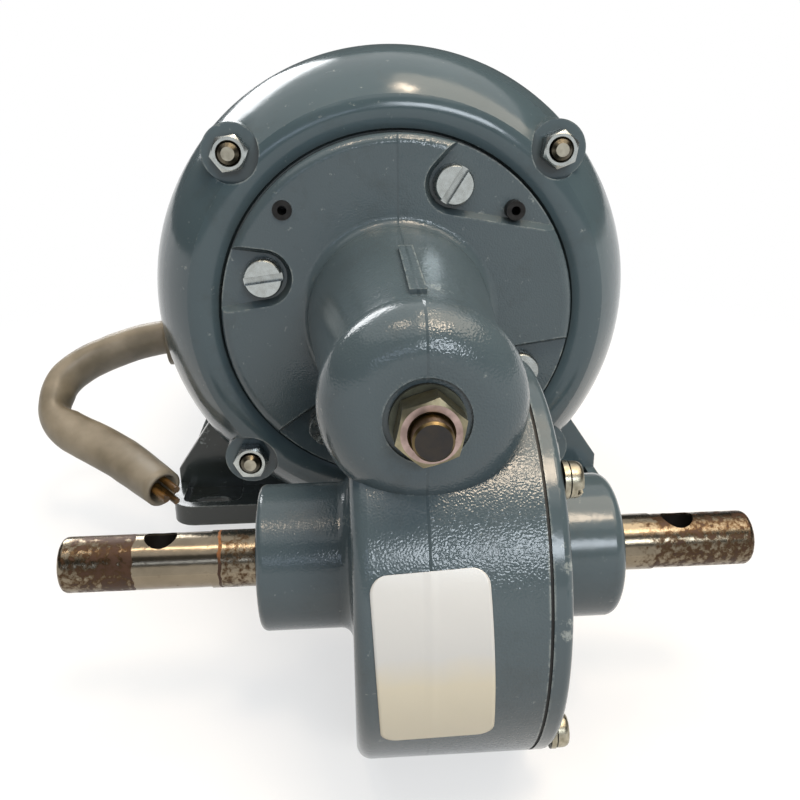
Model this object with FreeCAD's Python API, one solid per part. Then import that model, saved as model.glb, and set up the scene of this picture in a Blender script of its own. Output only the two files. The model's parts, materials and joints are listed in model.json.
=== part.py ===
import FreeCAD, Part
import math
import os

# Gear motor: a foot-mounted electric motor with a worm gearbox on its front and a through output shaft.
# Frame: origin in the middle of the foot bolt pattern, on the plane that the feet stand on.
# X runs along the output shaft, Y from the gearbox to the motor's rear, Z up. Millimetres.

V = FreeCAD.Vector
X_AXIS, Y_AXIS, Z_AXIS = V(1, 0, 0), V(0, 1, 0), V(0, 0, 1)

# Clearances
SLIDE = 0.05           # a screw, stud or pin in its hole
RUN = 0.03             # a shaft in its bush, radial
FREE = 0.5             # between pieces that only pass each other
CONTACT = 0.02         # between bodies that touch and turn
END_FLOAT = 0.04       # of the wheel hub between its thrust washers, each side
PAST = 1.0             # how far a cut runs past the face that it opens

# Feet
SHAFT_HEIGHT = 71.0    # motor axis above the foot plane
FOOT_PITCH_X = 112.0
FOOT_PITCH_Y = 90.0
SLOT_WIDTH = 7.0
SLOT_LENGTH = 11.0
FOOT_FLOOR = 4.0
FOOT_LIP = 6.4         # height of the raised edge
FOOT_LIP_WIDTH = 3.0
FOOT_MARGIN_X = 11.5   # slot centre to the foot's outer face
FOOT_MARGIN_Y = 7.5    # slot centre to the foot's end
FOOT_BLOCK_TOP = 12.0  # face that carries the motor
FOOT_BLOCK_IN = 30.0
FOOT_BLOCK_OUT = 47.0
FOOT_CORNER_R = 7.0
FOOT_PAD_REACH = 0.6   # top of the motor's foot pads, as a share of its radius below the axis
WEB_THICKNESS = 4.0
WEB_Y = 32.0
WEB_STEP = 10.9        # height where the web's outer edge leans in
WEB_TOP_ANGLE = 35.8   # where the web meets the motor, degrees below the axis
FOOT_SCREW_D = 6.0
FOOT_SCREW_HEAD_D = 10.0
FOOT_SCREW_HEAD = 6.0
FOOT_SCREW_SINK = 0.5  # head below the foot's underside
FOOT_SCREW_X = 38.0
FOOT_SCREW_Y = 28.0
FOOT_SCREW_GRIP = 8.0  # thread length in the motor

# Motor
HOUSING_R = 63.5
HOUSING_WALL = 5.0
HOUSING_LENGTH = 93.0
RIB_INSET = 8.0        # stator ribs stop this far from the housing's ends
RIB_HALF_ANGLE = 25.0
RIB_ANGLES = (0, 90, 270)
SHIELD_LIP = 0.8       # shield's rim outside the housing, radial
SHIELD_WALL = 4.5
SHIELD_RIM = 3.0       # straight part of the rim
SHIELD_DEPTH = 29.0    # from the housing's end to the flange joint
SHIELD_CREST = 3.0     # crest of the dome in front of the joint
CREST_WIDTH = 7.7      # from the groove's wall to the dome
SHIELD_GROOVE = 0.3    # gap round the gearbox flange
SHIELD_PLATE = 7.0
CREST_ROUND = 1.0
CREST_LEAN = 0.6       # slope of the groove's wall
SPIGOT_LENGTH = 3.0    # the shield's skirt over the housing's end
SPIGOT_WALL = 2.5
STUD_D = 5.0
STUD_GAP = 0.3         # stud from the housing's inner wall
STATOR_GAP = 1.2       # stator from the studs
STUD_SEAT_DROP = 0.5   # nut seat behind the flange joint
STUD_PROUD = 1.3       # stud end in front of its nut
STUD_POINT = 0.9       # bevel of the stud's end
STUD_PAD_D = 14.0
NUT_AF = 8.0
NUT_HEIGHT = 4.0
NUT_CHAMFER_ANGLE = 30.0
NUT_FACE_SHARE = 0.94  # chamfer circle of a nut, as a share of its width across flats
NUT_COUNTERSINK = 0.5
STUD_ANGLES = (45, 135, 225, 315)
TIE_NUT_TURNS = (21, 8, 0, 40)

STATOR_LENGTH = 60.0
SLOT_COUNT = 24
BACK_IRON = 9.0        # stator ring outside its slots
STATOR_SLOT_WIDTH = 4.0
ROTOR_SHARE = 0.59     # rotor's radius, as a share of the stator's
AIR_GAP = 0.3
END_RING_LENGTH = 8.0
END_RING_WALL = 13.0
WINDING_LIFT = 2.0     # end turns outside the stator's bore
WINDING_DROP = 6.0     # end turns inside the stator's edge
WINDING_OVERHANG = 15.0
WINDING_CHAMFER = 2.5
WINDING_GAP = 0.2      # round a bar in its slot

# Ball bearings of the rotor
BEARING_D = 35.0
BEARING_BORE = 15.0
BEARING_WIDTH = 11.0
RING_WALL = 2.6
BEARING_SHIELD = 0.8
HUB_WALL = 5.0
BEARING_LIP = 2.5
LIP_BORE_R = 13.0
WAVE_HEIGHT = 1.5
WAVE_WALL = 3.0

# Rotor shaft
ROTOR_SEAT_D = 20.0
WORM_SEAT_D = 12.0
JOURNAL_D = 10.0

# Worm pair
MODULE = 1.2
WHEEL_TEETH = 55
CENTRE_DISTANCE = 43.0
PRESSURE_ANGLE = 20.0
BACKLASH = 0.3
ROOT_CLEARANCE = 0.3
WORM_LENGTH = 30.0
WORM_COLLAR = 8.0      # plain end with the pin
WORM_PIN_D = 3.0
THREAD_EMBED = 0.4     # thread's foot below the worm's root
WHEEL_WIDTH = 12.0
WHEEL_RIM = 9.0        # bronze rim below the tooth roots
HUB_R = 11.0
HUB_RIGHT = 14.0       # hub end on the cover's side
SPACER_STEP = 2.0      # spacer smaller than the hub, radial
KEY_WIDTH = 5.0
KEY_HEIGHT = 5.0
KEY_LENGTH = 14.0
KEY_SETBACK = 2.0      # key from the hub's end

# Gearbox
WHEEL_OFFSET = 46.0    # wheel axis in front of the flange joint
FLANGE_R = 43.8
FLANGE_THICKNESS = 6.0
FLANGE_ROUND = 2.5
FLANGE_SPIGOT_R = 28.0
FLANGE_SPIGOT = 2.5
NECK_R = 22.5
NECK_WAIST_R = 17.6
NECK_WAIST = 16.5      # waist in front of the wheel axis
NECK_FILLET = 2.5
BULB_R = 19.2
BULB_FRONT = 31.8      # bulb face in front of the wheel axis
BULB_FACE_R = 10.0
BULB_ROUND = 9.0       # length of the rounded front
BULB_SWELL = 0.5       # outward bow between waist and bulb
SPOT_FACE_R = 7.8
SPOT_FACE = 0.8        # depth of the washer's seat
WORM_BORE_R = 12.2
PAD_WIDTH = 3.2        # cast pad along the neck's top
PAD_LENGTH = 31.0
PAD_HEIGHT = 0.9
PAD_FRONT = 13.5       # pad's front end, in front of the wheel axis
DRUM_R = 42.0
DRUM_LEFT = 13.7       # drum's left face from the motor axis
DRUM_RIGHT = 20.8
DRUM_ROUND = 3.0
DRUM_WALL = 5.0        # left wall
WHEEL_ROOM = 1.2       # cavity round the wheel's tips
BOSS_R = 15.75
BOSS_LEFT = 33.1       # left boss end from the motor axis
BOSS_RIGHT = 43.6
BOSS_FILLET = 2.5
BOSS_ROUND = 1.5
COVER_BOSS_ROUND = 2.5
GASKET = 0.6
GASKET_INSET = 0.4     # gasket's edge below the drum's surface
COVER_THICKNESS = 3.7
COVER_ROUND = 1.6
COVER_SPIGOT = 2.8
COVER_BOSS_FILLET = 3.0
COVER_SCREW_D = 4.0
COVER_SCREW_R = 38.6
COVER_SCREW_LENGTH = 14.0
COVER_SCREW_HEAD_D = 6.8
COVER_SCREW_HEAD = 2.6
COVER_SCREW_ANGLES = (42.5, 132.5, 222.5, 312.5)
COVER_SLOT_TURN = 35.0
COVER_WASHER = 1.0
COVER_WASHER_D = 7.2

FLANGE_SCREW_D = 6.0
FLANGE_SCREW_R = 34.5
FLANGE_SCREW_ANGLES = (162.5, 67.1, -25.5, 237)
FLANGE_SLOT_TURNS = (-7, -57, 20, 60)
FLANGE_SCREW_LENGTH = 9.0
FLANGE_SCREW_HEAD_D = 9.6
FLANGE_SCREW_HEAD = 3.9
FLANGE_POCKET = 2.6    # depth of the screw pockets
FLANGE_POCKET_WIDTH = 11.4   # at the floor
FLANGE_POCKET_DRAFT = 1.3    # wider on each side at the flange's face
FLANGE_POCKET_WAYS = ((172, 188), (-10, 47), (-8, 8), (215, 250))  # of its two sides
FLANGE_SLOT_CUT = 1.9
COVER_SLOT_CUT = 1.2
PIN_D = 4.6
PIN_BORE = 2.2
PIN_R = 38.2
PIN_ANGLES = (42, 136)
PIN_LENGTH = 9.0
PIN_PROUD = 0.4

ADJUSTER_D = 7.0
ADJUSTER_NUT_AF = 11.0
ADJUSTER_NUT = 5.6
ADJUSTER_WASHER = 1.2
ADJUSTER_WASHER_D = 13.4
ADJUSTER_NUT_TURN = 18.0
ADJUSTER_PROUD = 3.4   # screw end in front of the nut's face
ADJUSTER_POINT = 0.4   # bevel of the screw's end
WORM_BUSH_OD = 16.0
WORM_BUSH_LENGTH = 9.0
ADJUSTER_WALL = 5.3    # tapped wall at the bulb's front
THRUST_BALL_D = 5.0
SEAL_OD = 30.0
SEAL_WIDTH = 7.0
SEAL_SETBACK = 1.0     # motor seal from the flange joint

# Output shaft
OUTPUT_D = 12.0
OUTPUT_LENGTH = 151.0
OUTPUT_JOURNAL_D = 12.4  # in the bushes and seals
SHOULDER_LEFT = 10.5     # journal outside the boss, to the stop for a hub
SHOULDER_RIGHT = 9.6
OUTPUT_SEAT_D = 14.0
CROSS_HOLE_D = 7.0
CROSS_HOLE_LEFT = 21.1   # hole centre from the shaft's end
CROSS_HOLE_RIGHT = 16.3
SHAFT_ROUND = 1.2        # ends of the shaft
OUTPUT_BUSH_OD = 18.0
OUTPUT_SEAL_OD = 22.0
OUTPUT_SEAL_WIDTH = 6.0
SEAL_INSET = 0.8         # seal face below the boss face
THRUST_WASHER = 1.0
THRUST_WASHER_D = 22.0

# Cable
SLEEVE_D = 11.0
SLEEVE_BORE = 9.0
SLEEVE_BORE_DEPTH = 5.0
WIRE_D = 2.0
WIRE_COUNT = 3
WIRE_CIRCLE_R = 2.2
WIRE_PROUD = 5.0       # bare ends in front of the sleeve
CABLE_Y = -20.0
CABLE_Z = 50.8
GLAND_PAD_D = 22.0
GLAND_PAD_PROUD = 2.5  # gland pad outside the housing
GROMMET_FLANGE_D = 18.0
GROMMET_FLANGE = 3.0
GROMMET_WALL = 1.5
BEND_SHARE = 0.45      # of the shorter run that a bend takes
CABLE_ROUTE = [
    (-77.0, -20.0, 50.8), (-86.0, -20.8, 48.0), (-94.0, -22.6, 45.0), (-100.5, -25.8, 41.0),
    (-103.6, -30.0, 36.6), (-103.2, -34.8, 31.6), (-99.0, -39.2, 27.6), (-91.0, -43.1, 24.9),
    (-82.6, -47.8, 22.2), (-75.2, -54.2, 20.0), (-66.4, -63.5, 17.8),
]

# Places that follow from the sizes
HALF_HOUSING = HOUSING_LENGTH / 2
JOINT_Y = -HALF_HOUSING - SHIELD_DEPTH
WHEEL_Y = JOINT_Y - WHEEL_OFFSET
WHEEL_Z = SHAFT_HEIGHT - CENTRE_DISTANCE
WHEEL_PITCH_R = MODULE * WHEEL_TEETH / 2
WHEEL_TIP_R = WHEEL_PITCH_R + MODULE
WHEEL_ROOT_R = WHEEL_PITCH_R - MODULE - ROOT_CLEARANCE
WORM_PITCH_R = CENTRE_DISTANCE - WHEEL_PITCH_R
WORM_TIP_R = WORM_PITCH_R + MODULE
WORM_ROOT_R = WORM_PITCH_R - MODULE - ROOT_CLEARANCE
LEAD = math.pi * MODULE
CAVITY_R = WHEEL_TIP_R + WHEEL_ROOM
CAVITY_LEFT = -DRUM_LEFT + DRUM_WALL
COVER_X = DRUM_RIGHT + GASKET
COVER_OUT = COVER_X + COVER_THICKNESS
COVER_IN = COVER_X - COVER_SPIGOT
BULB_Y = WHEEL_Y - BULB_FRONT
FLANGE_Y = JOINT_Y - FLANGE_THICKNESS
BUSH_FRONT_Y = BULB_Y + ADJUSTER_WALL
BUSH_REAR_Y = BUSH_FRONT_Y + WORM_BUSH_LENGTH
JOURNAL_END_Y = BUSH_FRONT_Y + THRUST_BALL_D / 2
BALL_PROUD = THRUST_BALL_D / 2 - 2 * SLIDE
WORM_FRONT_Y = WHEEL_Y - WORM_LENGTH / 2
WORM_REAR_Y = WHEEL_Y + WORM_LENGTH / 2
SEAL_FRONT_Y = JOINT_Y - SEAL_SETBACK - SEAL_WIDTH
FRONT_BEARING_Y = JOINT_Y + FLANGE_SPIGOT + BEARING_LIP
REAR_SEAT_Y = HALF_HOUSING + SHIELD_DEPTH - FLANGE_SPIGOT - BEARING_LIP
REAR_BEARING_Y = REAR_SEAT_Y - WAVE_HEIGHT - BEARING_WIDTH
FOOT_OUT_X = FOOT_PITCH_X / 2 + FOOT_MARGIN_X
FOOT_END_Y = FOOT_PITCH_Y / 2 + FOOT_MARGIN_Y
STUD_SEAT = SHIELD_DEPTH - STUD_SEAT_DROP
NUT_FACE = STUD_SEAT + NUT_HEIGHT
HOUSING_IN_R = HOUSING_R - HOUSING_WALL
SPIGOT_R = HOUSING_IN_R + SPIGOT_WALL
SHIELD_R = HOUSING_R + SHIELD_LIP
STUD_CIRCLE_R = HOUSING_IN_R - STUD_GAP - STUD_D / 2
STATOR_R = STUD_CIRCLE_R - STUD_D / 2 - STATOR_GAP
ROTOR_R = ROTOR_SHARE * STATOR_R
STATOR_BORE_R = ROTOR_R + AIR_GAP
SLOT_DEPTH_R = STATOR_R - BACK_IRON
WINDING_R_IN = STATOR_BORE_R + WINDING_LIFT
WINDING_R_OUT = STATOR_R - WINDING_DROP
GLAND_PAD_X = HOUSING_R + GLAND_PAD_PROUD
WASHER_SEAT_Y = BULB_Y + SPOT_FACE
STUD_END_Y = HALF_HOUSING + NUT_FACE + STUD_PROUD


def cylinder(radius, start, end, axis, at=V(0, 0, 0)):
    """A cylinder along an axis, from start to end on it, through the point at."""
    return Part.makeCylinder(radius, end - start, at + axis * start, axis)


def motor_cylinder(radius, start_y, end_y):
    return cylinder(radius, start_y, end_y, Y_AXIS, V(0, 0, SHAFT_HEIGHT))


def wheel_cylinder(radius, start_x, end_x):
    return cylinder(radius, start_x, end_x, X_AXIS, V(0, WHEEL_Y, WHEEL_Z))


def motor_ring(outer, inner, start_y, end_y):
    return motor_cylinder(outer, start_y, end_y).cut(motor_cylinder(inner, start_y, end_y))


def wheel_ring(outer, inner, start_x, end_x):
    return wheel_cylinder(outer, start_x, end_x).cut(wheel_cylinder(inner, start_x, end_x))


def box(low, high):
    return Part.makeBox(high[0] - low[0], high[1] - low[1], high[2] - low[2], V(*low))


def outline(points):
    """A closed wire through (a, b) points; an entry of two points is an arc through the first."""
    edges = []
    first = V(*points[0], 0)
    here = first
    for entry in points[1:] + [points[0]]:
        if isinstance(entry[0], tuple):
            middle, target = V(*entry[0], 0), V(*entry[1], 0)
            edges.append(Part.Arc(here, middle, target).toShape())
        else:
            target = V(*entry, 0)
            if here.distanceToPoint(target) < 1e-6:
                continue
            edges.append(Part.LineSegment(here, target).toShape())
        here = target
    return Part.Wire(edges)


def corner(start, bend, end):
    """The arc entry that rounds the right-angled bend between two points at equal distance from it."""
    centre = (start[0] + end[0] - bend[0], start[1] + end[1] - bend[1])
    share = 1 / math.sqrt(2)
    middle = tuple(c + (b - c) * share for c, b in zip(centre, bend))
    return (middle, end)


def turned(points, axis):
    """A solid of revolution from (radius, place along the axis) points, about the axis X or Y."""
    face = Part.Face(outline(points))
    solid = face.revolve(V(0, 0, 0), Y_AXIS, 360)
    if axis is X_AXIS:
        solid.rotate(V(0, 0, 0), Z_AXIS, -90)
        solid.translate(V(0, WHEEL_Y, WHEEL_Z))
    else:
        solid.translate(V(0, 0, SHAFT_HEIGHT))
    return solid


def across(angle):
    """A direction across the motor axis; degrees from +X towards +Z."""
    return V(math.cos(math.radians(angle)), 0, math.sin(math.radians(angle)))


def hexagon(across_flats, bore, start_y, end_y, at, turn):
    """A hexagon nut along Y with chamfered corners and a countersunk bore on both faces."""
    corner_r = across_flats / math.sqrt(3)
    corners = [across(turn + 60 * i) * corner_r for i in range(6)]
    base = Part.makePolygon([at + Y_AXIS * start_y + c for c in corners + corners[:1]])
    prism = Part.Face(base).extrude(Y_AXIS * (end_y - start_y))
    height = end_y - start_y
    top = across_flats / 2 * NUT_FACE_SHARE
    rise = (corner_r - top) * math.tan(math.radians(NUT_CHAMFER_ANGLE))
    cone = Part.makeCone(top, corner_r, rise, at + Y_AXIS * start_y, Y_AXIS)
    middle = cylinder(corner_r, start_y + rise, end_y - rise, Y_AXIS, at)
    back = Part.makeCone(corner_r, top, rise, at + Y_AXIS * (end_y - rise), Y_AXIS)
    blank = cone.fuse([middle, back]).removeSplitter()
    nut = prism.common(blank)
    nut = nut.cut(cylinder(bore / 2, start_y - height, end_y + height, Y_AXIS, at))
    for face_y, way in ((start_y, 1), (end_y, -1)):
        wide = bore / 2 + NUT_COUNTERSINK
        nut = nut.cut(Part.makeCone(wide, bore / 2, NUT_COUNTERSINK, at + Y_AXIS * face_y, Y_AXIS * way))
    return nut


def round_places(radius, angles):
    """Points round the motor axis; degrees from +X towards +Z."""
    return [V(0, 0, SHAFT_HEIGHT) + across(a) * radius for a in angles]


def wheel_places(radius, angles):
    return [V(0, WHEEL_Y + radius * math.cos(math.radians(a)), WHEEL_Z + radius * math.sin(math.radians(a)))
            for a in angles]


def stud_places():
    return round_places(STUD_CIRCLE_R, STUD_ANGLES)


def export(name, *solids):
    shape = solids[0] if len(solids) == 1 else Part.makeCompound(list(solids))
    shape.exportStep("parts/" + name + ".step")
    print(name, len(shape.Solids), round(shape.Volume, 1), shape.isValid())


# Motor end shields

def shield_side(is_front):
    """The shield as a revolve; places are measured from the housing's end, outwards."""
    crest = SHIELD_DEPTH + SHIELD_CREST
    crest_in = FLANGE_R + SHIELD_GROOVE + CREST_LEAN
    shoulder = (crest_in + CREST_WIDTH, crest - CREST_ROUND)
    # The dome's arc leaves the rim square to it and ends at the crest's shoulder.
    reach, rise = SHIELD_R - shoulder[0], shoulder[1] - SHIELD_RIM
    dome_r = (reach ** 2 + rise ** 2) / (2 * reach)
    centre_r = SHIELD_R - dome_r
    inner_r = dome_r - SHIELD_WALL
    plate_in = SHIELD_DEPTH - SHIELD_PLATE

    def dome(place, radius):
        return (centre_r + math.sqrt(radius ** 2 - (place - SHIELD_RIM) ** 2), place)

    middle = ((shoulder[0] + crest_in) / 2, crest)
    seat_end = SHIELD_DEPTH - FLANGE_SPIGOT - BEARING_LIP
    hub_end = seat_end - BEARING_WIDTH - (0 if is_front else WAVE_HEIGHT)
    hub_r = BEARING_D / 2 + HUB_WALL
    points = [
        (SHIELD_R, -SPIGOT_LENGTH), (SHIELD_R, SHIELD_RIM),
        (dome((SHIELD_RIM + shoulder[1]) / 2, dome_r), shoulder),
        (middle, (crest_in, crest - CREST_ROUND)), (FLANGE_R + SHIELD_GROOVE, SHIELD_DEPTH),
    ]
    if is_front:
        points += [
            (FLANGE_SPIGOT_R, SHIELD_DEPTH), (FLANGE_SPIGOT_R, SHIELD_DEPTH - FLANGE_SPIGOT),
            (LIP_BORE_R, SHIELD_DEPTH - FLANGE_SPIGOT), (LIP_BORE_R, seat_end),
        ]
    else:
        points += [(0, SHIELD_DEPTH), (0, seat_end)]
    points += [
        (BEARING_D / 2, seat_end), (BEARING_D / 2, hub_end), (hub_r, hub_end), (hub_r, plate_in),
        dome(plate_in, inner_r),
        (dome((SHIELD_RIM + plate_in) / 2, inner_r), dome(SHIELD_RIM, inner_r)),
        (SHIELD_R - SHIELD_WALL, 0), (SPIGOT_R + SLIDE, 0), (SPIGOT_R + SLIDE, -SPIGOT_LENGTH),
    ]
    side = -1 if is_front else 1

    def out(place):
        return side * (HALF_HOUSING + place)

    placed = []
    for entry in points:
        if isinstance(entry[0], tuple):
            placed.append(tuple((r, out(place)) for r, place in entry))
        else:
            placed.append((entry[0], out(entry[1])))
    shield = turned(placed, Y_AXIS)
    pads, cuts = [], []
    for at in stud_places():
        pads.append(cylinder(STUD_PAD_D / 2, *sorted((out(SHIELD_DEPTH / 2), out(STUD_SEAT))), Y_AXIS, at))
        cuts.append(cylinder(STUD_PAD_D / 2, *sorted((out(STUD_SEAT), out(2 * SHIELD_DEPTH))), Y_AXIS, at))
        cuts.append(cylinder(STUD_D / 2 + SLIDE, *sorted((out(0), out(SHIELD_DEPTH))), Y_AXIS, at))
    return shield.fuse(pads).cut(cuts)


def front_shield():
    shield = shield_side(True)
    for place in round_places(FLANGE_SCREW_R, FLANGE_SCREW_ANGLES):
        reach = FLANGE_Y + FLANGE_POCKET + FLANGE_SCREW_LENGTH + SLIDE
        shield = shield.cut(cylinder(FLANGE_SCREW_D / 2 + SLIDE, JOINT_Y - PAST, reach, Y_AXIS, place))
    for place in round_places(PIN_R, PIN_ANGLES):
        reach = FLANGE_Y - PIN_PROUD + PIN_LENGTH + SLIDE
        shield = shield.cut(cylinder(PIN_D / 2 + SLIDE, JOINT_Y - PAST, reach, Y_AXIS, place))
    return shield


# Motor housing, feet and stator

def sector(radius, start_y, end_y, angle, half_angle):
    """A wedge about the motor axis, to take a slice of a ring."""
    far = 2 * radius
    ways = [math.radians(angle + d) for d in (-half_angle, 0, half_angle)]
    tips = [V(far * math.cos(w), start_y, SHAFT_HEIGHT + far * math.sin(w)) for w in ways]
    apex = V(0, start_y, SHAFT_HEIGHT)
    return Part.Face(Part.makePolygon([apex] + tips + [apex])).extrude(Y_AXIS * (end_y - start_y))


def stator_housing():
    shoulder = HALF_HOUSING - SPIGOT_LENGTH
    body = motor_cylinder(HOUSING_R, -shoulder, shoulder)
    body = body.fuse(motor_cylinder(SPIGOT_R, -HALF_HOUSING, HALF_HOUSING))
    pad_top = SHAFT_HEIGHT - HOUSING_R * FOOT_PAD_REACH
    for side in (-1, 1):
        xs = sorted((side * FOOT_BLOCK_IN, side * FOOT_BLOCK_OUT))
        low = (xs[0], -HALF_HOUSING + RIB_INSET, FOOT_BLOCK_TOP)
        body = body.fuse(box(low, (xs[1], HALF_HOUSING - RIB_INSET, pad_top)))
    gland_at = V(0, CABLE_Y, CABLE_Z)
    body = body.fuse(cylinder(GLAND_PAD_D / 2, -GLAND_PAD_X, -HOUSING_R / 2, X_AXIS, gland_at))
    body = body.cut(motor_cylinder(HOUSING_IN_R, -HALF_HOUSING, HALF_HOUSING))
    rib_end = HALF_HOUSING - RIB_INSET
    ring = motor_ring(HOUSING_IN_R + HOUSING_WALL / 2, STATOR_R, -rib_end, rib_end)
    for angle in RIB_ANGLES:
        body = body.fuse(ring.common(sector(HOUSING_R, -rib_end, rib_end, angle, RIB_HALF_ANGLE)))
    gland_bore = SLEEVE_D / 2 + GROMMET_WALL
    body = body.cut(cylinder(gland_bore, -2 * GLAND_PAD_X, -HOUSING_R / 2, X_AXIS, gland_at))
    for x in (-FOOT_SCREW_X, FOOT_SCREW_X):
        for y in (-FOOT_SCREW_Y, FOOT_SCREW_Y):
            top = FOOT_BLOCK_TOP + FOOT_SCREW_GRIP + SLIDE
            body = body.cut(cylinder(FOOT_SCREW_D / 2 + SLIDE, 0, top, Z_AXIS, V(x, y, 0)))
    return body


def foot(side):
    """One foot: slotted floor with a raised edge, the block under the motor and two webs."""
    inner, outer = FOOT_BLOCK_IN, FOOT_OUT_X
    plan = box((inner, -FOOT_END_Y, 0), (outer, FOOT_END_Y, FOOT_LIP))
    edges = [e for e in plan.Edges if abs(e.CenterOfMass.x - outer) < 1e-6 and abs(e.CenterOfMass.y) > 1
             and abs(e.CenterOfMass.z - FOOT_LIP / 2) < 1e-6]
    plan = plan.makeFillet(FOOT_CORNER_R, edges)
    rim_x, rim_y = outer - FOOT_LIP_WIDTH, FOOT_END_Y - FOOT_LIP_WIDTH
    dish = box((FOOT_BLOCK_OUT, -rim_y, FOOT_FLOOR), (rim_x, rim_y, 2 * FOOT_LIP))
    edges = [e for e in dish.Edges if abs(e.CenterOfMass.z - (FOOT_FLOOR + 2 * FOOT_LIP) / 2) < 1e-6]
    shape = plan.cut(dish.makeFillet(FOOT_LIP_WIDTH, edges))
    block_y = HALF_HOUSING - RIB_INSET
    shape = shape.fuse(box((inner, -block_y, 0), (FOOT_BLOCK_OUT, block_y, FOOT_BLOCK_TOP)))
    top = math.radians(WEB_TOP_ANGLE)
    reach = HOUSING_R + FREE
    tip = (reach * math.cos(top), SHAFT_HEIGHT - reach * math.sin(top))
    foot_in = FOOT_BLOCK_OUT + FREE
    for y in (-WEB_Y, WEB_Y):
        start = V(0, y - WEB_THICKNESS / 2, 0)
        places = [(foot_in, FOOT_FLOOR / 2), (outer, FOOT_FLOOR / 2), (outer, WEB_STEP), tip,
                  (foot_in, tip[1])]
        path = [start + V(x, 0, z) for x, z in places]
        web = Part.Face(Part.makePolygon(path + path[:1])).extrude(Y_AXIS * WEB_THICKNESS)
        shape = shape.fuse(web)
    shape = shape.cut(motor_cylinder(reach, -FOOT_END_Y, FOOT_END_Y)).removeSplitter()
    slot_run = (SLOT_LENGTH - SLOT_WIDTH) / 2
    for y in (-FOOT_PITCH_Y / 2, FOOT_PITCH_Y / 2):
        middle = FOOT_PITCH_X / 2
        for x in (middle - slot_run, middle + slot_run):
            shape = shape.cut(cylinder(SLOT_WIDTH / 2, -PAST, FOOT_LIP + PAST, Z_AXIS, V(x, y, 0)))
        shape = shape.cut(box((middle - slot_run, y - SLOT_WIDTH / 2, -PAST),
                              (middle + slot_run, y + SLOT_WIDTH / 2, FOOT_LIP + PAST)))
    for y in (-FOOT_SCREW_Y, FOOT_SCREW_Y):
        at = V(FOOT_SCREW_X, y, 0)
        shape = shape.cut(cylinder(FOOT_SCREW_D / 2 + SLIDE, -PAST, FOOT_BLOCK_TOP + PAST, Z_AXIS, at))
        seat = FOOT_SCREW_SINK + FOOT_SCREW_HEAD
        shape = shape.cut(cylinder(FOOT_SCREW_HEAD_D / 2 + FREE, -PAST, seat, Z_AXIS, at))
    if side < 0:
        shape = shape.mirror(V(0, 0, 0), X_AXIS)
    return shape


def foot_screws():
    solids = []
    for x in (-FOOT_SCREW_X, FOOT_SCREW_X):
        for y in (-FOOT_SCREW_Y, FOOT_SCREW_Y):
            at = V(x, y, 0)
            seat = FOOT_SCREW_SINK + FOOT_SCREW_HEAD
            head = cylinder(FOOT_SCREW_HEAD_D / 2, FOOT_SCREW_SINK, seat, Z_AXIS, at)
            shank = cylinder(FOOT_SCREW_D / 2, seat, FOOT_BLOCK_TOP + FOOT_SCREW_GRIP, Z_AXIS, at)
            solids.append(head.fuse(shank))
    return solids


def stator_core():
    half = STATOR_LENGTH / 2
    core = motor_ring(STATOR_R, STATOR_BORE_R, -half, half)
    width = STATOR_SLOT_WIDTH / 2
    cutter = box((-width, -half - PAST, 0), (width, half + PAST, SLOT_DEPTH_R))
    cutters = []
    for i in range(SLOT_COUNT):
        slot = cutter.copy()
        slot.rotate(V(0, 0, 0), Y_AXIS, 360 * (i + 0.5) / SLOT_COUNT)
        slot.translate(V(0, 0, SHAFT_HEIGHT))
        cutters.append(slot)
    return core.cut(cutters)


def stator_winding():
    half = STATOR_LENGTH / 2
    start, end = half + FREE, half + WINDING_OVERHANG
    rings = []
    for side in (-1, 1):
        bevel = end - WINDING_CHAMFER
        rings.append(turned([
            (WINDING_R_IN, side * start), (WINDING_R_IN, side * bevel),
            (WINDING_R_IN + WINDING_CHAMFER, side * end), (WINDING_R_OUT - WINDING_CHAMFER, side * end),
            (WINDING_R_OUT, side * bevel), (WINDING_R_OUT, side * start)], Y_AXIS))
    width = STATOR_SLOT_WIDTH / 2 - WINDING_GAP
    bar = box((-width, -start - PAST, WINDING_R_IN + PAST),
              (width, start + PAST, SLOT_DEPTH_R - WINDING_GAP))
    winding = rings[0].fuse(rings[1])
    bars = []
    for i in range(SLOT_COUNT):
        one = bar.copy()
        one.rotate(V(0, 0, 0), Y_AXIS, 360 * (i + 0.5) / SLOT_COUNT)
        one.translate(V(0, 0, SHAFT_HEIGHT))
        bars.append(one)
    return winding.fuse(bars)


# Rotor

def rotor_shaft():
    """The motor's shaft; its front end carries the worm and runs in a bush."""
    front_seat = FRONT_BEARING_Y + BEARING_WIDTH
    steps = [
        (JOURNAL_D, JOURNAL_END_Y, WORM_FRONT_Y), (WORM_SEAT_D, WORM_FRONT_Y, WORM_REAR_Y + WORM_COLLAR),
        (BEARING_BORE, WORM_REAR_Y + WORM_COLLAR, front_seat), (ROTOR_SEAT_D, front_seat, REAR_BEARING_Y),
        (BEARING_BORE, REAR_BEARING_Y, REAR_BEARING_Y + BEARING_WIDTH),
    ]
    points = [(0, steps[0][1])]
    for diameter, start, end in steps:
        points += [(diameter / 2, start), (diameter / 2, end)]
    points.append((0, steps[-1][2]))
    shaft = turned(points, Y_AXIS)
    pocket = THRUST_BALL_D / 2 + SLIDE
    depth = JOURNAL_END_Y + THRUST_BALL_D - BALL_PROUD + SLIDE
    shaft = shaft.cut(motor_cylinder(pocket, JOURNAL_END_Y - PAST, depth))
    return shaft.cut(cylinder(WORM_PIN_D / 2, -WORM_SEAT_D, WORM_SEAT_D, X_AXIS, worm_pin_at()))


def worm_pin_at():
    return V(0, WORM_REAR_Y + WORM_COLLAR / 2, SHAFT_HEIGHT)


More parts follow.
